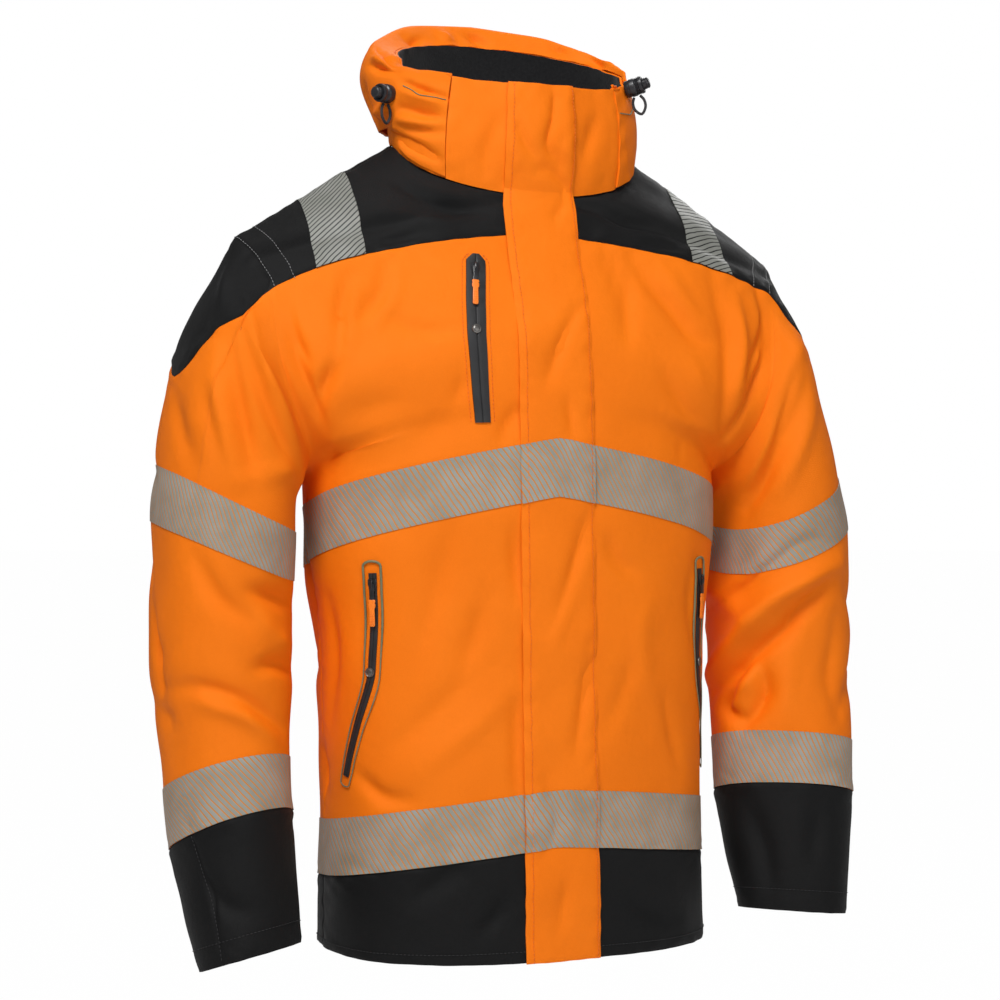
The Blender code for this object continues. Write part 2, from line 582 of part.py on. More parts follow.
def collar_cloth(turns, low=0.0):
    """The collar as a closed ring, from a share of its height up to the rim."""
    cloth = Cloth()
    shares = [low + (1 - low) * k / COLLAR_ROWS for k in range(COLLAR_ROWS + 1)]
    rows = [[tuple(collar_point(t, share)) for t in turns] for share in shares]

    def label(_, j):
        middle = (turns[j] + turns[j + 1]) / 2
        if abs(middle) > COLLAR_SEAM_DEG:
            return "collar_back", None
        return "collar_front" + hand_of(middle), None

    cloth.grid(rows, label, flip=False)
    cloth.settle()
    return cloth


def hood_cloth(turns):
    """The hood, from the collar's rim up over its crest and down outside to its lower edge."""
    right = np.array([r for r in HOOD if r.turn < 0], float)
    left = np.array([r for r in HOOD if r.turn > 0], float)
    clear = CLOTH + 2 * LAY_GAP
    columns = []
    for turn in turns:
        half = right if turn < 0 else left
        roll = Roll(turn, *smooth_columns(half[:, 0], half[:, 1:], [turn])[0])
        foot_z, rim_z = collar_point(turn, 0.0)[2], collar_point(turn, 1.0)[2]
        height = rim_z - foot_z
        line = [((RIM_GAP + height) / height, 0.0003), (1 + roll.crest_up / height, roll.crest_out + clear / 2),
                ((roll.belly_z - foot_z) / height, roll.belly_out + clear),
                (roll.foot_up / height, roll.foot_out + clear)]
        column = smooth_line([(0.0, *p) for p in line], HOOD_ROWS)
        columns.append([collar_point(turn, share) + outward(turn) * out for _, share, out in column])
    rows = [[tuple(c[i]) for c in columns] for i in range(len(columns[0]))]
    cloth = Cloth()
    cloth.grid(rows, lambda *_: ("hood", None), flip=True)
    cloth.settle()
    return cloth


def smooth_line(points, steps):
    """A Catmull-Rom curve through the points, with steps rows between each two."""
    p = [np.array(q, float) for q in points]
    p = [2 * p[0] - p[1]] + p + [2 * p[-1] - p[-2]]
    out = []
    for k in range(1, len(p) - 2):
        for i in range(steps):
            u = i / steps
            out.append(0.5 * (2 * p[k] + (p[k + 1] - p[k - 1]) * u
                              + (2 * p[k - 1] - 5 * p[k] + 4 * p[k + 1] - p[k + 2]) * u**2
                              + (3 * p[k] - p[k - 1] - 3 * p[k + 1] + p[k + 2]) * u**3))
    return out + [p[-2]]


# ------------------------------------------------------------------ Blender objects
def clear_scene():
    for thing in list(bpy.data.objects):
        bpy.data.objects.remove(thing, do_unlink=True)


def new_material(name, colour, roughness, metallic=0.0):
    material = bpy.data.materials.new(name)
    material.use_nodes = True
    shader = material.node_tree.nodes["Principled BSDF"]
    shader.inputs["Base Color"].default_value = (*colour, 1.0)
    shader.inputs["Roughness"].default_value = roughness
    shader.inputs["Metallic"].default_value = metallic
    return material


class Maker:
    """Links objects into the jacket's collection and keeps its materials."""

    def __init__(self):
        self.parts = bpy.data.collections.new("hi_vis_work_jacket")
        self.cutters = bpy.data.collections.new("cutters")
        bpy.context.scene.collection.children.link(self.parts)
        bpy.context.scene.collection.children.link(self.cutters)
        self.material = {
            "orange_cloth": new_material("orange_cloth", ORANGE, 0.75),
            "black_cloth": new_material("black_cloth", BLACK, 0.80),
            "tape": new_material("tape", GREY, 0.45, 0.30),
            "trim": new_material("trim", OLIVE, 0.60),
            "orange_rubber": new_material("orange_rubber", ORANGE, 0.50),
            "black_plastic": new_material("black_plastic", BLACK, 0.40),
        }

    def mesh_object(self, name, points, faces, material):
        mesh = bpy.data.meshes.new(name)
        mesh.from_pydata([tuple(p) for p in points], [], [tuple(int(i) for i in f) for f in faces])
        mesh.update()
        return self.link(bpy.data.objects.new(name, mesh), material)

    def link(self, thing, material):
        thing.data.materials.append(self.material[material])
        self.parts.objects.link(thing)
        return thing

    def cutter(self, name, mesh):
        thing = bpy.data.objects.new(name, mesh)
        thing.hide_render = True
        thing.display_type = "WIRE"
        self.cutters.objects.link(thing)
        return thing

    def wall(self, name, cloth, picked, inner, outer, material):
        points, faces = cloth.wall(picked, inner, outer)
        return self.mesh_object(name, points, faces, material)


def box_mesh(name, size, centre):
    """A box from the cube primitive, as mesh data."""
    bm = bmesh.new()
    bmesh.ops.create_cube(bm, size=1.0)
    bmesh.ops.scale(bm, vec=size, verts=bm.verts)
    bmesh.ops.translate(bm, vec=centre, verts=bm.verts)
    mesh = bpy.data.meshes.new(name)
    bm.to_mesh(mesh)
    bm.free()
    return mesh


class Panel:
    """Finds points on the faceted cloth, for what lies on it."""

    def __init__(self, cloth, group=0):
        faces = [tuple(int(i) for i in f) for f, g in zip(cloth.faces, cloth.group) if g == group]
        self.tree = BVHTree.FromPolygons([tuple(p) for p in cloth.points], faces)

    def seat(self, place, normal, out=0.0):
        """The point of the cloth under a place near it, moved out along the normal."""
        found, facet, _, _ = self.tree.ray_cast(place + normal * 0.02, -normal, 0.05)
        if found is None:
            return place + normal * out, normal
        return found + normal * out, facet

    def at(self, turn, z, side):
        """The point at a turn from centre front and a height, and the even direction out of it."""
        away = Vector((sin(radians(turn)) * side, -cos(radians(turn)), 0.0))
        place, facet, _, _ = self.tree.ray_cast(away * 0.6 + Vector((0, 0, z)), -away)
        across = facet.cross(Vector((0, 0, 1))).normalized()
        up = across.cross(facet)
        around = [self.seat(place + across * a + up * b, facet)[1]
                  for a in (-FEEL, 0, FEEL) for b in (-FEEL, 0, FEEL)]
        return place, sum(around, Vector()).normalized()


def path_stations(panel, stops, step, side):
    """Stations along a zip's path: place, direction out, direction along and half width."""
    line = np.array([(radians(s.turn) * BODY_RADIUS, s.z, s.half_width) for s in stops])
    knots = lengths(line[:, :2])
    count = int(ceil(knots[-1] / step))
    found = smooth_columns(knots, line, [knots[-1] * i / count for i in range(count + 1)])
    spots = [(*panel.at(degrees(t / BODY_RADIUS), z, side), half) for t, z, half in found]
    stations = []
    for k, (place, out, half) in enumerate(spots):
        before, after = spots[max(k - 1, 0)][0], spots[min(k + 1, count)][0]
        along = after - before
        along = (along - along.dot(out) * out).normalized()
        stations.append((place, out, along, half))
    return stations


def strip_on_front(maker, name, panel, stops, side, lift, thick, material):
    """A flat strip along a path on the front, of the path's own width."""
    rows = []
    for place, out, along, half in path_stations(panel, stops, STRIP_STEP, side):
        across = along.cross(out)
        rows.append([tuple(panel.seat(place + across * half * a, out, lift)[0]) for a in (-1, 0, 1)])
    cloth = Cloth()
    cloth.grid(rows, lambda *_: ("strip", None), flip=False)
    cloth.settle()
    if cloth.normals[:, 1].mean() > 0:
        cloth.faces = cloth.faces[:, ::-1]
        cloth.find_normals()
    return maker.wall(name, cloth, cloth.everything(), 0.0, thick, material)


def piping_on_front(maker, name, panel, stops, side):
    """A thin cord sewn round a pocket opening: a closed tube beside the path on both sides."""
    stations = path_stations(panel, stops, PIPING_STEP, side)
    lift = TRIM_GAP + LAY_GAP + PIPING_RADIUS
    edges = []
    for sign in (1, -1):
        edges.append([panel.seat(place + along.cross(out) * half * sign, out, lift)[0]
                      for place, out, along, half in stations])
    points = edges[0] + edges[1][::-1]
    curve = bpy.data.curves.new(name, "CURVE")
    curve.dimensions = "3D"
    curve.bevel_depth = PIPING_RADIUS
    curve.bevel_resolution = 0
    spline = curve.splines.new("POLY")
    spline.points.add(len(points) - 1)
    for target, place in zip(spline.points, points):
        target.co = (*place, 1.0)
    spline.use_cyclic_u = True
    return maker.link(bpy.data.objects.new(name, curve), "trim")


def frame_on_front(panel, turn, z, side, lean):
    """A frame on the front: X across the zip, Y into the cloth, Z up the zip, leaning in degrees."""
    place, out = panel.at(turn, z, side)
    up = Vector((sin(radians(lean)) * side, 0.0, cos(radians(lean))))
    up = (up - up.dot(out) * out).normalized()
    matrix = Matrix(((-out).cross(up), -out, up)).transposed().to_4x4()
    matrix.translation = place
    return matrix


def slider_mesh(name, maker):
    """A zip slider with a slot for the tab's end. Its origin is on the cloth's side."""
    body = box_mesh(name, (SLIDER_WIDTH, SLIDER_DEPTH, SLIDER_HEIGHT), (0, -SLIDER_DEPTH / 2, 0))
    slot_length = SLIDER_HEIGHT
    slot = box_mesh(name + "_slot", (SLOT_WIDTH, SLOT_DEPTH * 2, slot_length),
                    (0, -SLIDER_DEPTH, SLOT_TOP - slot_length / 2))
    return body, maker.cutter("cut_" + name, slot)


def place_slider_and_pull(maker, prefix, panel, spot, side, lift):
    """The slider as shown, and its pull tab hanging on a hinge axis across the zip."""
    matrix = frame_on_front(panel, spot.turn, spot.z, side, spot.lean)
    seat = matrix @ Matrix.Translation((0, -lift, 0))
    body, cutter = slider_mesh(prefix + "_slider", maker)
    slider = maker.link(bpy.data.objects.new(prefix + "_slider", body), "black_plastic")
    slider.matrix_world = seat
    cutter.matrix_world = seat
    cut = slider.modifiers.new("slot", "BOOLEAN")
    cut.object = cutter
    cut.solver = "EXACT"
    axis_out = SLIDER_DEPTH - SLOT_DEPTH + HINGE_OUT
    pull = bpy.data.objects.new(prefix + "_pull", pull_curve(prefix + "_pull"))
    maker.link(pull, "orange_rubber")
    pull.matrix_world = seat @ Matrix.Translation((0, -axis_out, 0)) @ Matrix.Rotation(pi / 2, 4, "X")
    return slider, pull


def pull_curve(name):
    """The pull tab's flat outline, drawn in its own X and Y with the hinge axis at the origin."""
    neck, wide, tip = PULL_NECK / 2, PULL_WIDTH / 2, PULL_WIDTH / 4 - PULL_LENGTH
    outline = [(-neck, PULL_EDGE), (-neck, -PULL_NECK_LENGTH), (-wide, -PULL_SHOULDER)]
    outline += [(-wide * cos(a), tip - wide * sin(a) / 2) for a in (radians(d) for d in range(0, 181, 30))]
    outline += [(wide, -PULL_SHOULDER), (neck, -PULL_NECK_LENGTH), (neck, PULL_EDGE)]
    curve = bpy.data.curves.new(name, "CURVE")
    curve.dimensions = "2D"
    curve.fill_mode = "BOTH"
    curve.extrude = PULL_THICK / 2
    spline = curve.splines.new("POLY")
    spline.points.add(len(outline) - 1)
    for target, (x, y) in zip(spline.points, outline):
        target.co = (x, y, 0.0, 1.0)
    spline.use_cyclic_u = True
    return curve


def round_mesh(name, radius, height):
    """A short button standing on its origin along +Z, a little narrower at its top."""
    bm = bmesh.new()
    bmesh.ops.create_cone(bm, cap_ends=True, segments=ROUND_SEGMENTS, radius1=radius,
                          radius2=radius * SNAP_TAPER, depth=height)
    bmesh.ops.translate(bm, vec=(0, 0, height / 2), verts=bm.verts)
    mesh = bpy.data.meshes.new(name)
    bm.to_mesh(mesh)
    bm.free()
    return mesh


def place_snap(maker, name, panel, spot, side, lift):
    place, normal = panel.at(spot.turn, spot.z, side)
    place = place + normal * lift
    snap = maker.link(bpy.data.objects.new(name, round_mesh(name, SNAP_RADIUS, SNAP_HEIGHT)),
                      "black_plastic")
    snap.matrix_world = Matrix.Translation(place) @ normal.to_track_quat("Z", "Y").to_matrix().to_4x4()
    return snap


def turned_object(maker, name, profile, material):
    """A turned solid: the profile's (radius, height) points spun round +Z with a Screw modifier."""
    mesh = bpy.data.meshes.new(name)
    mesh.from_pydata([(r, 0.0, h) for r, h in profile], [(i, i + 1) for i in range(len(profile) - 1)], [])
    thing = maker.link(bpy.data.objects.new(name, mesh), material)
    screw = thing.modifiers.new("turn", "SCREW")
    screw.axis = "Z"
    screw.steps = ROUND_SEGMENTS
    screw.render_steps = ROUND_SEGMENTS
    screw.use_merge_vertices = True
    screw.merge_threshold = 0.00001
    return thing


def place_cord_lock(maker, hood_panel, side, turn, z):
    """A spring cord lock: a barrel, its plunger, and the loop of cord that comes out of it."""
    hand = hand_of(side)
    place, axis = hood_panel.at(turn, z, side)
    place = place + axis * TRIM_GAP
    matrix = Matrix.Translation(place) @ axis.to_track_quat("Z", "Y").to_matrix().to_4x4()
    floor, bevel = LOCK_LENGTH - LOCK_BORE_DEPTH, LOCK_BEVEL
    barrel = [(0.0, floor), (LOCK_BORE, floor), (LOCK_BORE, LOCK_LENGTH), (LOCK_RADIUS - bevel, LOCK_LENGTH),
              (LOCK_RADIUS, LOCK_LENGTH - bevel), (LOCK_RADIUS, bevel), (LOCK_RADIUS - bevel, 0.0), (0.0, 0.0)]
    body = turned_object(maker, "cord_lock" + hand, barrel, "black_plastic")
    body.matrix_world = matrix
    foot = floor + PLUNGER_TRAVEL + PLUNGER_REST
    top = foot + PLUNGER_LENGTH
    pin = [(0.0, top), (PLUNGER_RADIUS - bevel, top), (PLUNGER_RADIUS, top - bevel), (PLUNGER_RADIUS, foot),
           (0.0, foot)]
    plunger = turned_object(maker, "cord_lock_plunger" + hand, pin, "black_plastic")
    plunger.matrix_world = matrix
    loop_cord(maker, "cord_loop" + hand, matrix)


def loop_cord(maker, name, matrix):
    """The loop of cord under the lock, from one place on its barrel back to another."""
    start = LOCK_RADIUS + LOOP_START
    spots = [(LOOP_HALF_WIDTH * across, start + LOOP_DROP * share) for across, share in LOOP]
    down = matrix.to_3x3().inverted() @ Vector((0, 0, -1))
    down.z = 0
    down.normalize()
    height = LOCK_LENGTH * LOOP_HEIGHT
    line = smooth_line([(0.0, a, d) for a, d in spots], 2)
    points = [matrix @ (down * float(p[2]) + Vector((0, 0, height + float(p[1])))) for p in line]
    curve = bpy.data.curves.new(name, "CURVE")
    curve.dimensions = "3D"
    curve.bevel_depth = CORD_RADIUS
    curve.bevel_resolution = 2
    curve.use_fill_caps = True
    spline = curve.splines.new("POLY")
    spline.points.add(len(points) - 1)
    for target, p in zip(spline.points, points):
        target.co = (*p, 1.0)
    return maker.link(bpy.data.objects.new(name, curve), "black_cloth")


# ------------------------------------------------------------------ the pieces
def add_panels(maker, body):
    """Every cut piece of the torso and sleeves."""
    black = ("hem", "yoke", "sleeve_head", "cuff")
    for panel in sorted(set(body.panel)):
        material = "black_cloth" if panel.startswith(black) else "orange_cloth"
        maker.wall(panel, body, body.chosen(panels=(panel,)), -CLOTH, 0.0, material)


def add_tapes(maker, body):
    """Reflective tapes, moved out from the panels' points. On the fronts they end under the flap."""
    for tape in sorted(set(t for t in body.tape if t)):
        if tape.startswith(("hem_tape_back", "chest_tape_back")):
            continue
        picked = body.chosen(tape=tape, region=lambda p: abs(p[0]) > TAPE_START)
        maker.wall(tape, body, picked, LAY_GAP, LAY_GAP + TAPE, "tape")
    for name in ("hem_tape_back", "chest_tape_back"):
        picked = body.chosen(tape=name + "_left") + body.chosen(tape=name + "_right")
        maker.wall(name, body, picked, LAY_GAP, LAY_GAP + TAPE, "tape")


def flap_cloth():
    """The storm flap over the zip, from the hem up the front and over the collar to its rim."""
    knots, columns, places, names = torso_rows()
    shares = (-1.0, -0.5, 0.0, 0.5, 1.0)
    rows = []
    for row in smooth_columns(knots, columns, places[:names["neck_front"]]):
        xs = [FLAP_HALF_WIDTH * share for share in shares]
        rows.append([(x, *row_point(row, abs(x))[1:]) for x in xs])
    for k in range(COLLAR_ROWS + 1):
        height = max(k / COLLAR_ROWS, FLAP_NECK_SHARE)
        turns = [degrees(asin(FLAP_COLLAR_HALF_WIDTH * share / NECK_HALF_WIDTH)) for share in shares]
        rows.append([tuple(collar_point(turn, height)) for turn in turns])
    cloth = Cloth()

    cloth.grid(rows, lambda i, _: ("flap", in_band(FLAP_TAPES, names, i)), flip=False)
    cloth.settle()
    return cloth


def main():
    clear_scene()
    maker = Maker()
    body = Cloth()
    neck = {}
    for side in (1, -1):
        front, back, neck[side], yoke_front, yoke_back = add_torso(body, side)
        add_sleeve(body, side, front, back, yoke_front, yoke_back)
    body.settle(FOLDS)
    add_panels(maker, body)
    add_tapes(maker, body)

    flap = flap_cloth()
    maker.wall("storm_flap", flap, flap.everything(), FLAP_LIFT, FLAP_LIFT + FLAP, "orange_cloth")
    for tape in ("hem_tape_flap", "chest_tape_flap"):
        low = FLAP_LIFT + FLAP + LAY_GAP
        maker.wall(tape, flap, flap.chosen(tape=tape), low, low + TAPE, "tape")

    turns = {round(turn_of(p), 3) for p in neck[1] + neck[-1]}
    turns = sorted(turns | {-180.0, -COLLAR_SEAM_DEG, COLLAR_SEAM_DEG})
    collar = collar_cloth(turns)
    for panel in sorted(set(collar.panel)):
        maker.wall(panel, collar, collar.chosen(panels=(panel,)), -CLOTH, 0.0, "orange_cloth")
    inside = collar_cloth(turns, LINING_LOW)
    low = -CLOTH - LAY_GAP
    maker.wall("collar_lining", inside, inside.everything(), low - LINING, low, "black_cloth")

    left_half = [t for t in turns if COLLAR_SEAM_DEG <= t < 180]
    right_half = [t for t in turns if t <= -COLLAR_SEAM_DEG]
    hood = hood_cloth(left_half + right_half)
    maker.wall("hood", hood, hood.everything(), -CLOTH, 0.0, "orange_cloth")

    panel = Panel(body)
    hood_panel = Panel(hood)
    strip_on_front(maker, "chest_zip_right", panel, CHEST_ZIP, -1, TRIM_GAP, ZIP_THICK, "black_cloth")
    zip_top = TRIM_GAP + ZIP_THICK + LAY_GAP
    place_slider_and_pull(maker, "chest_zip_right", panel, CHEST_SLIDER, -1, zip_top)
    place_snap(maker, "chest_snap_right", panel, CHEST_SNAP, -1, zip_top)
    for side in (1, -1):
        hand = hand_of(side)
        strip_on_front(maker, "hand_zip" + hand, panel, HAND_ZIP, side, TRIM_GAP, ZIP_THICK, "black_cloth")
        piping_on_front(maker, "hand_piping" + hand, panel, HAND_PIPING, side)
        place_slider_and_pull(maker, "hand_zip" + hand, panel, HAND_SLIDER, side, zip_top)
        place_snap(maker, "hand_snap" + hand, panel, HAND_SNAP, side, zip_top)
    for lock in LOCKS:
        place_cord_lock(maker, hood_panel, *lock)


main()
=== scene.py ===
"""Looks of the hi-vis work jacket: creased cloth shells, segmented tapes, trims and fastenings.

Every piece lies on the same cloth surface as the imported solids, in the same frame: metres, +Z up,
origin at the neck, the front facing -Y and the wearer's left at +X. The surface is lofted from the
same tables of sections, more finely, and creases are pressed into it one by one.
"""
from collections import namedtuple
from math import asin, ceil, cos, degrees, pi, radians, sin

import bmesh
import bpy
import numpy as np
from mathutils import Matrix, Vector
from mathutils.bvhtree import BVHTree
from mathutils.kdtree import KDTree
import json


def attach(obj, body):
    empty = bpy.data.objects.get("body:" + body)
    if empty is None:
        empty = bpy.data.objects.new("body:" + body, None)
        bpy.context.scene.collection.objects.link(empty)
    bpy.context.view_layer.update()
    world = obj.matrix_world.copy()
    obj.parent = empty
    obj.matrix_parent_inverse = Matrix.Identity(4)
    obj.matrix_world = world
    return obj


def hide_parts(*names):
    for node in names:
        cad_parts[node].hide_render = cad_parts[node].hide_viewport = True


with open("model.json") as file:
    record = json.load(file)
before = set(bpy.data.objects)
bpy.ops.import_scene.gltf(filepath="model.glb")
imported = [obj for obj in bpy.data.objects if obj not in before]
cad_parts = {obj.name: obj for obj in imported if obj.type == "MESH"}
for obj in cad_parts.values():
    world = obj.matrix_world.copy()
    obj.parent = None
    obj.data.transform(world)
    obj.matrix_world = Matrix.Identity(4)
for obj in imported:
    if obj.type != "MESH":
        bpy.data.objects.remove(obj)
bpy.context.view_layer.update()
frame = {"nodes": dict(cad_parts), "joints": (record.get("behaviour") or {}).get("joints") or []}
scene = bpy.context.scene


# ------------------------------------------------------------------ camera, light and floor
LENS = 72.2               # mm
SENSOR = 36.0             # mm
FRAME_PX = 1000
FOCAL_PX = LENS / SENSOR * FRAME_PX
EYE = Vector((-0.7050, -1.7127, -0.3190))
AIM = Vector((-0.0112, 0.0045, -0.3190))
UP = Vector((0, 0, 1))
AHEAD = (AIM - EYE).normalized()
RIGHT = AHEAD.cross(UP)
FLOOR_Z = -1.10
FLOOR_RADIUS = 30.0
FLOOR_SIDES = 96
FLOOR_GREY = 0.80
FLOOR_ROUGHNESS = 0.9
FLOOR_GLOW = 0.99         # share of the floor that shows as white to the eye
AMBIENT = 0.21            # strength of the even light from all round
BACKDROP = 1.0            # brightness of the background itself
# Square lights aimed at the jacket: how far each is to the camera's right of it, toward the camera and
# up, in metres, then its size and its watts.
Light = namedtuple("Light", "name across toward up size watts")
LIGHTS = [
    Light("key", -0.5, 2.0, 2.2, 1.0, 69),
    Light("fill", 1.2, 2.2, 0.5, 1.4, 12),
    Light("back", 0.6, -2.0, 1.8, 1.6, 30),
]


def placed(name, data):
    """A new object in the scene, with the given mesh, curve, light or camera."""
    piece = bpy.data.objects.new(name, data)
    scene.collection.objects.link(piece)
    return piece


def make_camera():
    camera = placed("camera", bpy.data.cameras.new("camera"))
    camera.data.lens = LENS
    camera.data.sensor_width = SENSOR
    camera.location = EYE
    camera.rotation_euler = (AIM - EYE).to_track_quat("-Z", "Y").to_euler()
    scene.camera = camera


def make_light(row):
    light = placed(row.name, bpy.data.lights.new(row.name, "AREA"))
    light.data.size = row.size
    light.data.energy = row.watts
    light.location = AIM + RIGHT * row.across - AHEAD * row.toward + UP * row.up
    light.rotation_euler = (AIM - light.location).to_track_quat("-Z", "Y").to_euler()


def make_world():
    """An even pale surround, brighter to the eye than as a light."""
    world = bpy.data.worlds.new("surround")
    scene.world = world
    world.use_nodes = True
    nodes, links = world.node_tree.nodes, world.node_tree.links
    nodes.clear()
    path = nodes.new("ShaderNodeLightPath")
    mix = nodes.new("ShaderNodeMixShader")
    out = nodes.new("ShaderNodeOutputWorld")
    for strength, socket in ((AMBIENT, 1), (BACKDROP, 2)):
        ground = nodes.new("ShaderNodeBackground")
        ground.inputs["Color"].default_value = (1, 1, 1, 1)
        ground.inputs["Strength"].default_value = strength
        links.new(ground.outputs[0], mix.inputs[socket])
    links.new(path.outputs["Is Camera Ray"], mix.inputs[0])
    links.new(mix.outputs[0], out.inputs[0])


def make_floor():
    mesh = bpy.data.meshes.new("floor")
    bm = bmesh.new()
    bmesh.ops.create_circle(bm, cap_ends=True, segments=FLOOR_SIDES, radius=FLOOR_RADIUS)
    bm.to_mesh(mesh)
    bm.free()
    floor = placed("floor", mesh)
    floor.location = (0, 0, FLOOR_Z)
    material = bpy.data.materials.new("floor")
    material.use_nodes = True
    nodes, links = material.node_tree.nodes, material.node_tree.links
    shader = nodes["Principled BSDF"]
    shader.inputs["Base Color"].default_value = (FLOOR_GREY, FLOOR_GREY, FLOOR_GREY, 1)
    shader.inputs["Roughness"].default_value = FLOOR_ROUGHNESS
    glow = nodes.new("ShaderNodeEmission")
    path = nodes.new("ShaderNodeLightPath")
    share = nodes.new("ShaderNodeMath")
    share.operation = "MULTIPLY"
    share.inputs[1].default_value = FLOOR_GLOW
    mix = nodes.new("ShaderNodeMixShader")
    links.new(path.outputs["Is Camera Ray"], share.inputs[0])
    links.new(share.outputs[0], mix.inputs[0])
    links.new(shader.outputs[0], mix.inputs[1])
    links.new(glow.outputs[0], mix.inputs[2])
    links.new(mix.outputs[0], nodes["Material Output"].inputs[0])
    mesh.materials.append(material)


make_camera()
for row in LIGHTS:
    make_light(row)
make_world()
make_floor()
scene.view_settings.view_transform = "Standard"


# ------------------------------------------------------------------ driving sizes
CLOTH = 0.0020            # wall of the laminated outer cloth
LINING = 0.0010           # wall of the collar's black inner face
TAPE_FILM = 0.0005        # segmented reflective tape
FLAP = 0.0016             # storm flap
FLAP_LIFT = 0.0020        # clear of the cloth, over the tapes' ends that it hides
FLAP_EDGE_DROP = 0.0010   # its edges lie this much closer to the fronts,
FLAP_EDGE_REACH = 0.006   # from this far in
SEAM_OPEN = 0.00008       # what shows between two pieces once their seam is drawn tight
LAY_GAP = 0.0003          # clear space under a piece that lies on a panel
TRIM_GAP = 0.0006         # the same under narrow trim, which crosses the panel's facets

NECK_HALF_WIDTH = 0.118
NECK_FRONT = 0.060        # how far the neck seam reaches in front of the shoulder line
NECK_BACK = 0.088
NECK_FRONT_DROP = 0.048   # how far the neck seam falls at centre front
NECK_BACK_RISE = 0.012
RIM_HALF_WIDTH = 0.1110
RIM_FRONT = 0.0650
RIM_BACK = 0.0900
RIM_SIDE_Z = 0.0800
RIM_FRONT_DROP = 0.0280
RIM_BACK_RISE = 0.0370
COLLAR_BULGE = 0.0045     # how far the collar wall swells between its two edges
COLLAR_LIFT = 0.0010      # the collar's lower edge stands this far above the neck seam
LINING_LOW = -0.04        # the lining starts this share of the collar's height below the neck seam

SHOULDER_TAPE_IN = 0.163  # X of the right shoulder tape's inner edge
SHOULDER_TAPE_ACROSS = 0.043
LEFT_TAPE_SHIFT = 0.009   # the left one lies this much nearer the neck
FLAP_HALF_WIDTH = 0.035
FLAP_COLLAR_HALF_WIDTH = 0.0330
FLAP_NECK_SHARE = 0.04    # share of the collar's height where the flap leaves the neck seam
TAPE_START = 0.006        # the front tapes start this far from the centre line, under the flap
YOKE_DEPTH = 0.04         # twice how far below the yoke's front edge its back edge may hang
COLLAR_SEAM_DEG = 44.0    # turn, from centre front, of the seam between collar front and hood
COLLAR_STEP_DEG = 2.0
COLLAR_SWELL_REACH = 0.014  # the fronts swell out to meet the hood's edge from this far

RIM_GAP = 0.0007          # the hood starts this far above the collar's rim
RIM_OUT = 0.0003          # and this far out


# ------------------------------------------------------------------ tables
def neck_point(turn):
    """A point of the neck seam, on the wearer's left, turn degrees round from centre front."""
    c = cos(radians(turn))
    y = -NECK_FRONT * c if c > 0 else -NECK_BACK * c
    z = -NECK_FRONT_DROP * c if c > 0 else -NECK_BACK_RISE * c
    return NECK_HALF_WIDTH * sin(radians(turn)), y, z


def rim_point(turn):
    """The same for the collar's open upper edge."""
    c = cos(radians(turn))
    y = -RIM_FRONT * c if c > 0 else -RIM_BACK * c
    z = RIM_SIDE_Z - (RIM_FRONT_DROP * c**0.5 if c > 0 else RIM_BACK_RISE * c)
    return RIM_HALF_WIDTH * sin(radians(turn)), y, z


